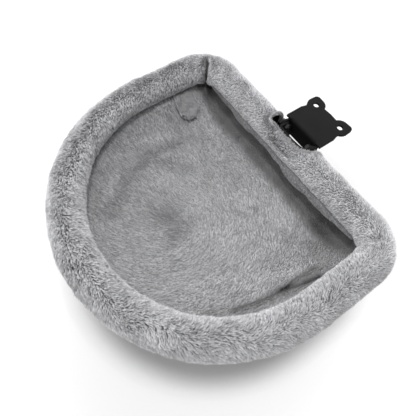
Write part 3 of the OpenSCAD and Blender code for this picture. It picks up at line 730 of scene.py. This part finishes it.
def pathPoint(shares):
    # Points and outward ways of the rim's centre line, at shares of its length from the middle of the back
    quarter = rim["cornerRadius"] * math.pi / 2
    flank = rim["cornerY"] - rim["frontY"]
    half = rim["cornerX"] + quarter + flank + rim["halfWidth"] * math.pi / 2
    along = ((shares + 0.5) % 1 - 0.5) * 2 * half
    side, far = np.sign(along) + (along == 0), np.abs(along)
    corner = math.pi / 2 - np.clip((far - rim["cornerX"]) / rim["cornerRadius"], 0, math.pi / 2)
    front = -np.clip((far - rim["cornerX"] - quarter - flank) / rim["halfWidth"], 0, math.pi / 2)
    onRound = far > rim["cornerX"] + quarter
    angle = np.where(onRound, front, corner)
    cos, sin = np.cos(angle), np.sin(angle)
    down = np.clip(far - rim["cornerX"] - quarter, 0, flank)
    x = np.where(onRound, rim["halfWidth"] * cos, np.minimum(far, rim["cornerX"]) + rim["cornerRadius"] * cos)
    y = np.where(onRound, rim["frontY"] + flank - down + rim["halfWidth"] * sin,
                 rim["cornerY"] + rim["cornerRadius"] * sin)
    return x * side, y, cos * side, sin


def bowlAngle(layer, outY):
    # How far down the roll the layer leaves it, more so along the straight side
    low, high = bowl["roundAngles"][layer], bowl["straightAngles"][layer]
    return np.radians(low + (high - low) * np.maximum(0, outY) ** 4)


def bowlPoints(layer, shares, ringShares):
    # Surface of one layer: it leaves the rim tangentially and falls to its sag in the middle
    x, y, outX, outY = pathPoint(shares)
    angle = bowlAngle(layer, outY)
    share = ringShares[:, None]
    lie = np.where((share == 1) & (layer in bowl["sewnLayers"]), bowl["seam"], bowl["lie"])
    inset, fall = lie * np.cos(angle), lie * np.sin(angle)
    depth = fall + (bowlDepths[layer] - fall) * (1 - share ** bowl["power"])
    placeX = share * (x - inset * outX)
    placeY = bowl["middleY"] + share * (y - inset * outY - bowl["middleY"])
    return np.stack([placeX, placeY, rim["level"] - depth + 0 * placeX], 2).reshape(-1, 3)


def bowlSheet(layer, steps, rings):
    # A ring of points, extruded ring by ring to the middle
    bm = bmesh.new()
    ring = pushRing(bm, bmesh.ops.create_circle(bm, segments=steps, radius=1.0)["verts"], steps=rings - 1)
    outermost = 1 if layer in bowl["sewnLayers"] else bowl["looseShare"]
    ringShares = outermost * np.linspace(1, 0, rings + 1)[:-1] ** 0.9
    for vertex, point in zip(bm.verts, bowlPoints(layer, np.arange(steps) / steps, ringShares)):
        vertex.co = point
    centre = Vector((0, bowl["middleY"], rim["level"] - bowlDepths[layer]))
    bmesh.ops.pointmerge(bm, verts=pushRing(bm, ring), merge_co=centre)
    return bm


def settleLiner(points):
    # Soft folds, the dip below the straight side and the give of the padding
    lift = np.zeros(len(points))
    for corners, height, width in linerFolds:
        lift += height * mm * np.exp(-(distanceToLine(points, corners) / width) ** 2)
    lift += (0.9 * ripple(points, 70 * mm, 41) + 0.35 * ripple(points, 26 * mm, 42)) * mm
    lift *= easeBetween(nearRimGap(points), 0.5 * mm, 9 * mm)
    settled = points.copy()
    settled[:, 2] += lift
    return settled


def nearRimGap(points):
    # Distance from the rim's roll
    offset, out = nearRim(points)
    return np.hypot(offset, points[:, 2] - rim["level"]) - rim["radius"]


def makeLayer(name, layer, thick, material, node, steps, rings, shape=None):
    bm = bowlSheet(layer, steps, rings)
    turnFacesUp(bm)
    piece = finishMesh(name, bm, merge=0, outward=False)
    if shape:
        writePoints(piece.data, shape(readPoints(piece.data)))
    addModifier(piece, "SOLIDIFY", thickness=thick, offset=-1.0)
    dress(piece, material)
    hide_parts(node)
    return piece


def thinWadding(piece, under, steps, rings):
    # The wadding's lower side is moved onto its own bowl, to stay inside the base cloth where the wall is steep
    bm = bowlSheet(under, steps, rings)
    below = np.array([v.co for v in bm.verts])
    bm.free()
    applyModifiers(piece)
    points = readPoints(piece.data)
    count = len(below)
    lower = slice(count, None) if points[count:, 2].mean() < points[:count, 2].mean() else slice(0, count)
    points[lower] = below
    writePoints(piece.data, points)


stitch = {"length": 2.6 * mm, "thick": 0.55 * mm, "step": 4.0 * mm}


def sewStitches(name, points, ways, outs, slot):
    # One small bead of thread for each stitch, pressed into the cloth
    bm = bmesh.new()
    for point, way, out in zip(points, ways, outs):
        across = np.cross(out, way) * stitch["thick"]
        columns = (across, out * stitch["thick"] * 0.7, way * stitch["length"] / 2)
        rows = [[*(column[row] for column in columns), point[row]] for row in range(3)]
        place = Matrix(rows + [(0, 0, 0, 1)])
        bmesh.ops.create_uvsphere(bm, u_segments=6, v_segments=4, radius=1.0, matrix=place)
    piece = finishMesh(name, bm, merge=0)
    dress(piece, finish["thread"])


def rowUnder(share, near):
    # A row of stitches round the underside of the base cloth
    count = round(0.95 / stitch["step"])
    around = np.arange(count) / count
    here, there = bowlPoints(5, around, np.array([share])), bowlPoints(5, around, np.array([share - near]))
    ways = unit(np.roll(here, -1, axis=0) - np.roll(here, 1, axis=0))
    outs = unit(np.cross(ways, there - here))
    outs *= -np.sign(outs[:, 2:])
    return here, ways, outs


def areaOf(piece):
    bm = bmesh.new()
    bm.from_mesh(piece.data)
    area = sum(f.calc_area() for f in bm.faces)
    bm.free()
    return area


linerPile = {
    "seed": 51, "strands": 170000, "pieces": 3,
    "length": 3.6 * mm, "width": 0.6 * mm,
    "lock": 1.1 * mm, "cells": (2.2, 2.2, 2.0), "stretch": 4.6, "gather": 0.5, "part": 0.26,
    "uneven": 0.3, "level": 0.73,
    "wave": 60 * mm, "wander": 0.3, "curl": 0.1, "stray": 0.07, "toss": 0.04, "roll": 0.2,
    "tones": (0.0, 0.0, 0.65, 0.65, 1.0),
    "lean": 1.15, "swirlMiddle": (15 * mm, -185 * mm), "parting": math.radians(145),
    "heading": math.radians(183), "mixing": 22 * mm,
}


def linerNap(roots, up):
    # Stroked round by hand: the nap makes half a turn about one place, and parts towards the left back corner
    x, y = (roots[:, :2] - linerPile["swirlMiddle"]).T
    around = np.arctan2(y, x) - linerPile["parting"]
    mixed = linerPile["mixing"] * np.random.default_rng(57).normal(size=len(roots))
    mixed /= np.maximum(np.hypot(x, y), 8 * mm)
    heading = linerPile["heading"] + (around - fullTurn * np.floor((around + mixed) / fullTurn)) / 2
    lay = np.stack([np.cos(heading), np.sin(heading), 0 * heading], 1)
    return lay, np.full(len(roots), linerPile["lean"])


# Darker and lighter patches on the liner, each a line in plan in millimetres, its half width and its change of
# tone: the dark ones along the folds, beside the rim and in the right back corner are painted shade, the light
# one on the ridge is painted light, and the rest are patches of tone
linerToneAndShadePatches = [
    (((-30, -196), (3, -206)), 19, -0.3),
    (((-1, -178), (-35, -218)), 15, -0.12),
    (((-61, -145), (-66, -138)), 9, -0.16),
    (((-112, -205), (-110, -171), (-104, -140), (-104, -104)), 6, -0.2),
    (((-99, -212), (-85, -171)), 6, 0.1),
    (((-122, -215), (-128, -180), (-122, -140)), 6, 0.1),
    # Painted shade in a valley, and painted light on the ridge beside it
    (((-73, -138), (-92, -191), (-84, -218), (-49, -261)), 12, -0.16),
    (((-114, -128), (-115, -168), (-103, -214), (-73, -250)), 9, 0.08),
    (((-110, -90), (-60, -110), (-20, -100)), 16, -0.1),
    # Painted shade in the folds, in the right back corner and beside the right flank
    (((127, -205), (136, -178), (141, -148), (140, -125), (144, -98)), 4.5, -0.75),
    (((143, -146), (150, -122), (154, -104)), 4.5, -0.65),
    (((104, -62), (150, -84)), 20, -0.26),
    (((118, -232), (136, -196), (150, -150), (158, -100)), 8, -0.3),
]


def linerShade(roots, up):
    # Painted shade on the liner: a dark strip along the straight side under the rim, and a dark line in the
    # seam beside the rim, stronger on the side towards the painted light; then the painted patches and a faint
    # tone that differs at random
    offset, out = nearRim(roots)
    towardsPaintedLight = easeBetween(out @ roll["paintedLightFrom"], -0.5, 0.5)
    shade = 1.02 + 0.04 * ripple(roots, 30 * mm, 52) - 0.7 * easeBetween(roots[:, 1], -69 * mm, -53 * mm)
    shade -= 0.5 * towardsPaintedLight * np.exp(-(nearRimGap(roots) / 2.0 / mm) ** 2)
    for corners, width, change in linerToneAndShadePatches:
        shade += change * np.exp(-(distanceToLine(roots, corners) / width) ** 2)
    return shade


plushLiner = makeLayer("plushLiner", 0, bowl["linerThick"] - 0.2 * mm, finish["linerBacking"],
                       "plush_liner", 300, 52, settleLiner)
growPile("linerPile", plushLiner, linerPile, finish["linerPlush"], linerNap, None, linerShade)
slingPadding = makeLayer("slingPadding", 2, bowl["waddingThick"], finish["wadding"],
                         "sling_padding", 120, 20)
thinWadding(slingPadding, 3, 120, 20)
baseCloth = makeLayer("baseCloth", 4, bowl["baseThick"], finish["baseCloth"], "base_cloth", 200, 32)
areaOf(baseCloth)
sewStitches("baseStitches", *rowUnder(0.955, 0.004), "base")
print("hammock made")


# The rolled hem round the notch, the lining of the sleeves and the foam that ends inside them

hem = {"radius": 1.7 * mm, "reach": rim["radius"] - 1.7 * mm, "front": rim["backY"] - 8.6 * mm,
       "half": hemHigh.x - 1.7 * mm, "corners": (8 * mm, 24.5 * mm), "sink": 2.4 * mm}


def notchPlan(side, reach, corner):
    # From one end of the notch's edge round its corner to the middle of the front
    lastTurn = math.acos((hem["front"] + corner - rim["backY"]) / reach)
    plan = [(hem["half"], rim["backY"] + reach * math.cos(a)) for a in np.linspace(0, lastTurn, 24)]
    arc = np.linspace(0, math.pi / 2, 12)[1:]
    plan += [(hem["half"] - corner * (1 - math.cos(a)), hem["front"] + corner * (1 - math.sin(a)))
             for a in arc]
    plan += [(x, hem["front"]) for x in np.linspace(hem["half"] - corner, 0, 12)[1:]]
    return np.array(plan) * (side, 1)


def pastLeft(x):
    # From 0 at the left sleeve's mouth to 1 along the front and right end, where the hem sinks into the pile
    return easeBetween(x, -34 * mm, -16 * mm)


def hemRoute():
    # Over the left sleeve's mouth, along the notch to the right end, and back below
    left, right = (notchPlan(side, hem["reach"] - drop, corner)
                   for side, drop, corner in zip((-1, 1), (0, hem["sink"]), hem["corners"]))
    plan = np.concatenate([left, right[-2::-1]])
    reach = hem["reach"] - hem["sink"] * pastLeft(plan[:, 0])
    height = np.sqrt(np.maximum(0, reach ** 2 - (plan[:, 1] - rim["backY"]) ** 2))
    over = np.stack([plan[:, 0], plan[:, 1], rim["level"] + height], 1)
    under = over[-2:0:-1].copy()
    under[:, 2] = 2 * rim["level"] - under[:, 2]
    return np.concatenate([over, under])


def makeHem():
    route = hemRoute()
    curve = bpy.data.curves.new("notchHem", "CURVE")
    curve.dimensions = "3D"
    curve.bevel_depth, curve.bevel_resolution = hem["radius"], 5
    line = curve.splines.new("POLY")
    line.points.add(len(route) - 1)
    line.points.foreach_set("co", np.hstack([route, np.ones((len(route), 1))]).ravel())
    line.points.foreach_set("radius", 1 - 0.65 * pastLeft(route[:, 0]))
    line.use_cyclic_u = True
    shape = bpy.data.objects.new("hemShape", curve)
    mesh = bpy.data.meshes.new_from_object(shape)
    bpy.data.objects.remove(shape)
    mesh.name = "notchHem"
    points = readPoints(mesh)
    away = unit(points - (0, rim["backY"], rim["level"]))
    writePoints(mesh, points + away * (0.2 * mm * ripple(points, 6 * mm, 61))[:, None])
    piece = addPiece("notchHem", mesh)
    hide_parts("notch_hem")
    dress(piece, finish["hem"])
    return piece


hemPile = {
    "seed": 71, "strands": 16000, "pieces": 1, "length": 4.6 * mm, "width": 0.6 * mm,
    "lock": 1.7 * mm, "stretch": 1.4, "gather": 0.7, "part": 1.2, "uneven": 0.3, "level": 0.85,
    "wave": 20 * mm, "wander": 0.8, "curl": 0.5, "stray": 0.4, "toss": 0.2, "roll": 0.4,
    "tones": (0.2, 0.2, 0.7, 0.7, 1.0),
}


def hemNap(roots, up):
    return outOfBack(roots), np.full(len(roots), 0.9)


def fromLeftEnd(roots):
    # From 0 at the left end, where the rolled edge shows, to 1 where the pile hides it
    return easeBetween(roots[:, 0], -hem["half"] + 4 * mm, -hem["half"] + 14 * mm)


def hemTrim(roots, up):
    return 0.3 + 0.7 * fromLeftEnd(roots)


def hemShade(roots, up):
    return 1.1 - 0.2 * fromLeftEnd(roots)


def makeLining():
    # The facing inside the sleeves' mouths and behind the notch, near black: painted shade in the mouths
    bm = bmesh.new()
    for side in (-1, 1):
        place = Matrix.Translation((side * (roll["notchHalf"] - 0.4 * mm), rim["backY"], rim["level"]))
        place = place @ Matrix.Rotation(math.pi / 2, 4, "Y")
        ring = bmesh.ops.create_circle(bm, segments=48, radius=17.6 * mm, matrix=place)["verts"]
        pushRing(bm, ring, (side * 10 * mm, 0, 0), 5)
    reach = roll["surface"] - 1 * mm
    left, right = (notchPlan(side, reach, corner) for side, corner in zip((-1, 1), hem["corners"]))
    front = np.concatenate([left, right[-2::-1]]) - (0, 2.2 * mm)
    front = front[front[:, 1] < rim["backY"] - 6.5 * mm]
    height = np.sqrt(np.maximum(0, reach ** 2 - (front[:, 1] - rim["backY"]) ** 2))
    ring = [bm.verts.new((x, y, rim["level"] - h)) for (x, y), h in zip(front, height)]
    for pair in zip(ring, ring[1:]):
        bm.edges.new(pair)
    for _ in range(8):
        ring = pushRing(bm, ring)
        for vertex in ring:
            vertex.co.z += math.sqrt(max(0, reach ** 2 - (vertex.co.y - rim["backY"]) ** 2)) / 4
    piece = finishMesh("sleeveLining", bm)
    addModifier(piece, "SOLIDIFY", thickness=0.6 * mm, offset=0.0)
    dress(piece, finish["lining"])
    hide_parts("notch_facing")


def makeFoam():
    # The foam tube round the frame, cut back inside the sleeves; its dark grey partly paints the shade in them
    bm = sweepRim(17.0 * mm, 32, 7 * mm)
    cutNotch(bm, roll["notchHalf"] + 7 * mm, roll["notchBack"] - 3 * mm, (3 * mm, 24 * mm))
    piece = finishMesh("foamRoll", bm)
    addModifier(piece, "SOLIDIFY", thickness=9.5 * mm, offset=-1.0)
    dress(piece, finish["foam"])
    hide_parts("foam_roll")


notchHem = makeHem()
growPile("hemPile", notchHem, hemPile, finish["rimPlush"], hemNap, hemTrim, hemShade)
makeLining()
makeFoam()
print("notch made")


# The puffed band below the straight side, pinched where it is stitched

band = {
    "half": rim["cornerX"] + 2 * mm, "steps": 120, "sides": 24, "fromTurn": 12, "toTurn": 70,
    "thick": 9.6 * mm, "least": 1.1 * mm,
    "pinches": (-101, -46, 9, 64, 119), "pinchWidth": 8 * mm, "pinchShare": 0.35,
    "puffs": (-128, -73, -18, 36, 92, 130), "fullness": (0.35, 0.75, 0.2, 1.05, 0.85, 0.75),
}


def makeBand():
    bm = bmesh.new()
    first = bmesh.ops.create_circle(bm, segments=band["sides"], radius=1.0)["verts"]
    last = pushRing(bm, first, steps=band["steps"])
    stations = np.linspace(-1, 1, band["steps"] + 1)
    x = np.repeat(stations * band["half"], band["sides"])
    around = np.tile(np.arange(band["sides"]) / band["sides"], band["steps"] + 1)
    full = np.repeat(np.sqrt(np.maximum(0.02, np.cos(stations * math.pi / 2))), band["sides"])
    pinch = sum(np.exp(-((x - at * mm) / band["pinchWidth"]) ** 2) for at in band["pinches"])
    puff = full * (1 - band["pinchShare"] * pinch) * np.interp(x / mm, band["puffs"], band["fullness"])
    puff *= 1 + 0.06 * ripple(np.stack([x, 0 * x, 0 * x], 1), 48 * mm, 81)
    outer = around < 0.5
    share = np.where(outer, around * 2, 2 - around * 2)
    half = (band["toTurn"] - band["fromTurn"]) / 2 * (1 - 0.14 * pinch)
    turn = np.radians((band["fromTurn"] + band["toTurn"]) / 2 + half * (2 * share - 1))
    swell = band["least"] + (band["thick"] * puff) * np.sin(math.pi * share) ** 0.75
    reach = roll["surface"] + 0.6 * mm + np.where(outer, swell, 0)
    places = np.stack([x, rim["backY"] - reach * np.cos(turn), rim["level"] - reach * np.sin(turn)], 1)
    for vertex, place in zip(bm.verts, places):
        vertex.co = place
    for end in (first, last):
        bmesh.ops.contextual_create(bm, geom=edgesOf(end))
    piece = finishMesh("sideBand", bm)
    points = readPoints(piece.data)
    writePoints(piece.data, points + outOfBack(points) * (0.35 * mm * ripple(points, 16 * mm, 82))[:, None])
    dress(piece, finish["linerBacking"])
    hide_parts("side_wall")
    return piece


# The band's pile is the liner's plush at a lower level: painted shade under the straight side's rim
bandPile = dict(linerPile, seed=91, strands=17000, pieces=1, length=2.6 * mm, lock=1.6 * mm, stretch=1.8,
                level=0.5256)


def bandNap(roots, up):
    lay = np.tile(np.array([0.35, -0.3, -1.0]), (len(roots), 1))
    return lay, np.full(len(roots), 0.9)


growPile("bandPile", makeBand(), bandPile, finish["linerPlush"], bandNap)
print("band made")


# The loose tab near the left corner

tab = {"root": -161 * mm, "length": 35 * mm, "middleY": -86.5 * mm, "half": 14.5 * mm, "thick": 2.6 * mm,
       "lift": 2.8 * mm, "slant": 5 * mm, "sunk": 2.6 * mm}


def linerHeight(places):
    # Height of the liner's top at places in plan, by settling along the bowl's own shape
    heights = np.zeros(len(places))
    pathX, pathY, outX, outY = pathPoint(np.linspace(-0.5, 0.5, 1500))
    angle = bowlAngle(0, outY)
    edgeX = pathX - bowl["lie"] * np.cos(angle) * outX
    edgeY = pathY - bowl["lie"] * np.cos(angle) * outY - bowl["middleY"]
    for index, (x, y) in enumerate(places):
        reach = np.hypot(x, y - bowl["middleY"])
        match = np.argmax((edgeX * x + edgeY * (y - bowl["middleY"])) / np.hypot(edgeX, edgeY))
        share = min(1, reach / math.hypot(edgeX[match], edgeY[match]))
        fall = bowl["lie"] * math.sin(angle[match])
        heights[index] = rim["level"] - fall - (bowlDepths[0] - fall) * (1 - share ** bowl["power"])
    return heights


def makeTab():
    bm = bmesh.new()
    grid = bmesh.ops.create_grid(bm, x_segments=22, y_segments=18, size=1.0)["verts"]
    points = np.array([v.co for v in grid])
    alongShare, across = (points[:, 0] + 1) / 2, points[:, 1]
    rounded = np.sqrt(np.maximum(0.06, 1 - np.maximum(0, (alongShare - 0.62) / 0.38) ** 2.6))
    x = tab["root"] + tab["length"] * alongShare
    half = tab["half"] * (0.55 + 0.45 * rounded) * (1 - 0.04 * alongShare)
    y = tab["middleY"] - tab["slant"] * alongShare + half * across
    x -= 4 * mm * (across ** 4) * easeBetween(alongShare, 0.75, 1.0)
    z = linerHeight(np.stack([x, y], 1)) + 0.4 * mm * ripple(points * 20 * mm, 14 * mm, 95)
    z += tab["lift"] * (0.4 + 1.2 * alongShare ** 2 + 0.5 * np.abs(across) ** 3)
    z -= tab["sunk"] * easeBetween(across, 0.1, 0.95)     # one side lies down into the liner's pile
    for vertex, place in zip(grid, zip(x, y, z)):
        vertex.co = place
    turnFacesUp(bm)
    piece = finishMesh("cornerTab", bm, outward=False)
    addModifier(piece, "SOLIDIFY", thickness=tab["thick"], offset=1.0)
    applyModifiers(piece)
    dress(piece, finish["linerBacking"])
    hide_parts("corner_tab")
    return piece


tabPile = dict(linerPile, seed=97, strands=9000, pieces=1, length=3.2 * mm, level=0.5402)


def tabNap(roots, up):
    # Laid out over the sunk side and the tip, and back from the free edge, which shows as a crisp line
    over = easeBetween(roots[:, 1], tab["middleY"] - 12 * mm, tab["middleY"] + 6 * mm)
    return np.stack([0.9 + 0 * over, 1.5 * over - 0.3, 0 * over], 1), np.full(len(roots), 1.15)


growPile("tabPile", makeTab(), tabPile, finish["linerPlush"], tabNap)
print("tab made")


# The hook-and-loop tapes that close the cover under the straight side

tape = {"start": 47.5 * mm, "end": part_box("closure_tapes")[1].x, "radius": 22.9 * mm, "thick": 1.2 * mm,
        "from": 15, "to": 45, "hemTurns": (17.5, 42.5)}


def underBack(x, turn, radius):
    # A point below the straight side, turned from straight down towards the desk
    angle = math.radians(turn)
    return np.array((x, rim["backY"] + radius * math.sin(angle), rim["level"] - radius * math.cos(angle)))


def makeTapes():
    bm = bmesh.new()
    for side in (-1, 1):
        line = [bm.verts.new(underBack(side * x, tape["from"], tape["radius"]))
                for x in np.linspace(tape["start"], tape["end"], 40)]
        geom = line + [bm.edges.new(pair) for pair in zip(line, line[1:])]
        bmesh.ops.spin(bm, geom=geom, cent=(0, rim["backY"], rim["level"]), axis=(1, 0, 0),
                       angle=math.radians(tape["to"] - tape["from"]), steps=10, use_merge=False)
    piece = finishMesh("closureTapes", bm)
    addModifier(piece, "SOLIDIFY", thickness=tape["thick"], offset=0.0)
    addModifier(piece, "BEVEL", width=0.3 * mm, segments=2)
    dress(piece, finish["tape"])
    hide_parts("closure_tapes")
    rows = [(side * x, turn) for side in (-1, 1) for turn in tape["hemTurns"]
            for x in np.arange(tape["start"] + 2 * mm, tape["end"] - 1 * mm, stitch["step"])]
    points = np.array([underBack(x, turn, tape["radius"] + tape["thick"] / 2) for x, turn in rows])
    sewStitches("tapeStitches", points, np.tile((1.0, 0.0, 0.0), (len(points), 1)), outOfBack(points), "tape")


makeTapes()
print("tapes made")


# The clamp screw, cut with a real thread, and its lobed knob

screwLow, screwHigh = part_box("clamp_screw")
knobLow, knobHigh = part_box("screw_knob")
clamp = {"radius": (screwHigh.x - screwLow.x) / 2, "axisY": (screwHigh.y + screwLow.y) / 2, "pitch": 2 * mm,
         "threadDepth": 1.15 * mm, "turnSteps": 22, "chamfer": 1.2 * mm}
knob = {"core": 12.6 * mm, "outer": (knobHigh.x - knobLow.x) / 2, "lobes": 6, "fullness": 1.5,
        "collar": 8.5 * mm, "collarHeight": 4.4 * mm, "edge": 2.4 * mm,
        "dish": 9.0 * mm, "dishDepth": 1.2 * mm, "sides": 120}


def makeScrew():
    # One pitch of the thread's profile, wound up the screw
    bm = bmesh.new()
    root, low = clamp["radius"] - clamp["threadDepth"], screwLow.z - clamp["pitch"]
    profile = ((root, 0.0), (clamp["radius"], 0.38), (clamp["radius"], 0.5), (root, 0.88), (root, 1.0))
    line = [bm.verts.new((radius, clamp["axisY"], low + share * clamp["pitch"])) for radius, share in profile]
    geom = line + [bm.edges.new(pair) for pair in zip(line, line[1:])]
    turns = math.ceil((screwHigh.z - screwLow.z) / clamp["pitch"]) + 2
    rise = (0, 0, clamp["pitch"] / clamp["turnSteps"])
    bmesh.ops.spin(bm, geom=geom, cent=(0, clamp["axisY"], 0), axis=(0, 0, 1), angle=fullTurn * turns,
                   steps=clamp["turnSteps"] * turns, dvec=rise, use_merge=False)
    bmesh.ops.remove_doubles(bm, verts=bm.verts, dist=0.01 * mm)
    for level, way in ((screwLow.z, -1), (screwHigh.z, 1)):
        cut = bmesh.ops.bisect_plane(bm, geom=bm.verts[:] + bm.edges[:] + bm.faces[:], dist=0.001 * mm,
                                     plane_co=(0, 0, level), plane_no=(0, 0, way), clear_outer=True)
        bmesh.ops.contextual_create(bm, geom=[e for e in cut["geom_cut"] if isinstance(e, bmesh.types.BMEdge)])
    for vertex in bm.verts:
        fromEnd = min(screwHigh.z - vertex.co.z, vertex.co.z - screwLow.z)
        inset = max(0, clamp["chamfer"] - fromEnd)
        radius = math.hypot(vertex.co.x, vertex.co.y - clamp["axisY"])
        shrink = min(1, (clamp["radius"] - inset) / max(radius, 1e-6))
        vertex.co.x *= shrink
        vertex.co.y = clamp["axisY"] + (vertex.co.y - clamp["axisY"]) * shrink
    piece = finishMesh("clampScrew", bm, body="screw")
    dress(piece, finish["zinc"])
    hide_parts("clamp_screw")


def lobedRadius(angle):
    swell = math.tanh(knob["fullness"] * math.cos(knob["lobes"] * angle)) / math.tanh(knob["fullness"])
    return knob["core"] + (knob["outer"] - knob["core"]) * (0.5 + 0.5 * swell)


def makeKnob():
    # Rings from the dished bottom round the lobes to the collar: height, lobed or round, inset or radius
    top = knobHigh.z - knobLow.z - knob["collarHeight"]
    edge, collar, dish, depth = knob["edge"], knob["collar"], knob["dish"], knob["dishDepth"]
    rounding = ((0, 1.1), (0.08, 0.62), (0.35, 0.22), (1, 0))
    levels = [(depth, 0, dish * 0.45), (depth, 0, dish - 1 * mm)]
    levels += [(0.3 * mm, 0, dish), (0, 0, dish + 0.8 * mm)]
    levels += [(up * edge, 1, inset * edge) for up, inset in rounding] + [(top / 2, 1, 0)]
    levels += [(top - down * edge, 1, inset * edge) for down, inset in reversed(rounding)]
    levels += [(top, 0, collar + 1.2 * mm), (top + 0.4 * mm, 0, collar + 0.3 * mm), (top + 1 * mm, 0, collar)]
    top += knob["collarHeight"]
    levels += [(top - 0.7 * mm, 0, collar), (top, 0, collar - 0.7 * mm), (top, 0, clamp["radius"] + 0.3 * mm)]
    bm = bmesh.new()
    first = ring = bmesh.ops.create_circle(bm, segments=knob["sides"], radius=1.0)["verts"]
    angles = [math.atan2(v.co.y, v.co.x) for v in ring]
    for index, (height, lobed, size) in enumerate(levels):
        if index:
            fresh = {roundedPlace(v.co): v for v in pushRing(bm, ring)}
            ring = [fresh[roundedPlace(v.co)] for v in ring]
        for vertex, angle in zip(ring, angles):
            radius = lobedRadius(angle) - size if lobed else size
            vertex.co = (radius * math.cos(angle), clamp["axisY"] + radius * math.sin(angle),
                         knobLow.z + height)
    for end in (first, ring):
        bmesh.ops.contextual_create(bm, geom=edgesOf(end))
    piece = finishMesh("screwKnob", bm, body="screw")
    dress(piece, finish["knob"])
    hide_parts("screw_knob")


makeScrew()
makeKnob()
print("clamp screw and knob made")


# Finishes of the metal and rubber parts

nodeFinishes = {
    "steel": ("desk_bracket", "jaw_arm", "bed_bracket"),
    "tube": ("back_bar", "left_hoop", "right_hoop"),
    "blackHardware": ("pivot_bolts", "pivot_washers", "pivot_nuts"),
    "zinc": ("jaw_screws", "jaw_nuts", "screw_bush", "thrust_ball", "pressure_foot", "front_joiner",
             "frame_rivets"),
    "rubber": ("top_pad", "foot_pad"),
}
for name, nodes in nodeFinishes.items():
    for node in nodes:
        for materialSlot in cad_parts[node].material_slots:
            materialSlot.material = finish[name]
print("parts finished")


# Camera and light

# The photograph's viewing angle: from above the right side, with the desk's edge running down the picture
view = {"from": (0.17500, -0.29775, 0.39039), "turns": (27.114, -2.61, 54.915),
        "lens": 32.885, "sensor": 36.0}


def placeCamera():
    camera = bpy.data.objects.new("camera", bpy.data.cameras.new("camera"))
    scene.collection.objects.link(camera)
    camera.location = view["from"]
    camera.rotation_euler = [math.radians(turn) for turn in view["turns"]]
    camera.data.lens, camera.data.sensor_width = view["lens"], view["sensor"]
    camera.data.clip_start = 10 * mm
    scene.camera = camera


def addSoftLight(name):
    # A far, wide lamp, so that the floor is lit evenly all over
    light = bpy.data.objects.new(name, bpy.data.lights.new(name, "SUN"))
    scene.collection.objects.link(light)
    lamp = studio[name]
    light.location = lamp["from"]
    light.rotation_euler = (-Vector(lamp["from"])).to_track_quat("-Z", "Y").to_euler()
    light.data.angle, light.data.energy = math.radians(lamp["spread"]), lamp["power"]


def makeFloor():
    bm = bmesh.new()
    bmesh.ops.create_grid(bm, x_segments=1, y_segments=1, size=4.0)
    bmesh.ops.translate(bm, verts=bm.verts, vec=(0, 0, cadBox[0].z - studio["floorBelow"]))
    mesh = bpy.data.meshes.new("floor")
    bm.to_mesh(mesh)
    bm.free()
    floor = bpy.data.objects.new("floor", mesh)
    scene.collection.objects.link(floor)
    material = bpy.data.materials.new("floor")
    material.use_nodes = True
    tree = material.node_tree
    finishMaterial(material, {"Base Color": grey(studio["floorTone"]), "Roughness": 1.0,
                              "Specular IOR Level": 0.0})
    shader = tree.nodes["Principled BSDF"]
    seen = addNode(tree, "LightPath").outputs["Is Camera Ray"]
    # Seen by the camera, the floor's colour is darkened by ambient occlusion near the object: a painted shadow
    # on top of the cast ones
    near = addNode(tree, "AmbientOcclusion", {"Distance": studio["shadowReach"]}, samples=16).outputs["AO"]
    deep = addNode(tree, "Math", {0: near, 1: studio["shadowDepth"]}, operation="POWER").outputs[0]
    shaded = mixColours(tree, deep, grey(0.0), grey(studio["floorSeen"]))
    pale = addNode(tree, "BsdfDiffuse", {"Color": shaded})
    picked = addNode(tree, "MixShader", {0: seen, 1: shader.outputs[0], 2: pale.outputs[0]})
    tree.links.new(picked.outputs[0], tree.nodes["Material Output"].inputs["Surface"])
    floor.data.materials.append(material)


def lightWorld():
    world = bpy.data.worlds.new("studio")
    scene.world = world
    world.use_nodes = True
    tree = world.node_tree
    rays = addNode(tree, "LightPath").outputs
    shown = rays["Is Camera Ray"]
    for kind in ("Is Glossy Ray", "Is Transmission Ray"):
        shown = addNode(tree, "Math", {0: shown, 1: rays[kind]}, operation="MAXIMUM").outputs[0]
    strength = rangeOf(tree, shown, studio["fill"], 1.0, 0.0, 1.0)
    setInputs(tree, tree.nodes["Background"], {"Color": (1, 1, 1, 1), "Strength": strength})


studio = {
    "fill": 0.36, "floorTone": 0.8, "floorSeen": 0.95, "shadowReach": 0.14, "shadowDepth": 2.4,
    "floorBelow": 20 * mm,     # clear of the knob when the screw is all the way down
    "key": {"from": (-0.1, 0.05, 1.5), "spread": 11, "power": 1.45},
    "side": {"from": (-0.9, 0.9, 0.55), "spread": 60, "power": 2.0},
    "front": {"from": (-0.4, -1.0, 0.8), "spread": 60, "power": 0.9},
}
placeCamera()
lightWorld()
makeFloor()
for name in ("key", "side", "front"):
    addSoftLight(name)
scene.view_settings.view_transform = "Standard"
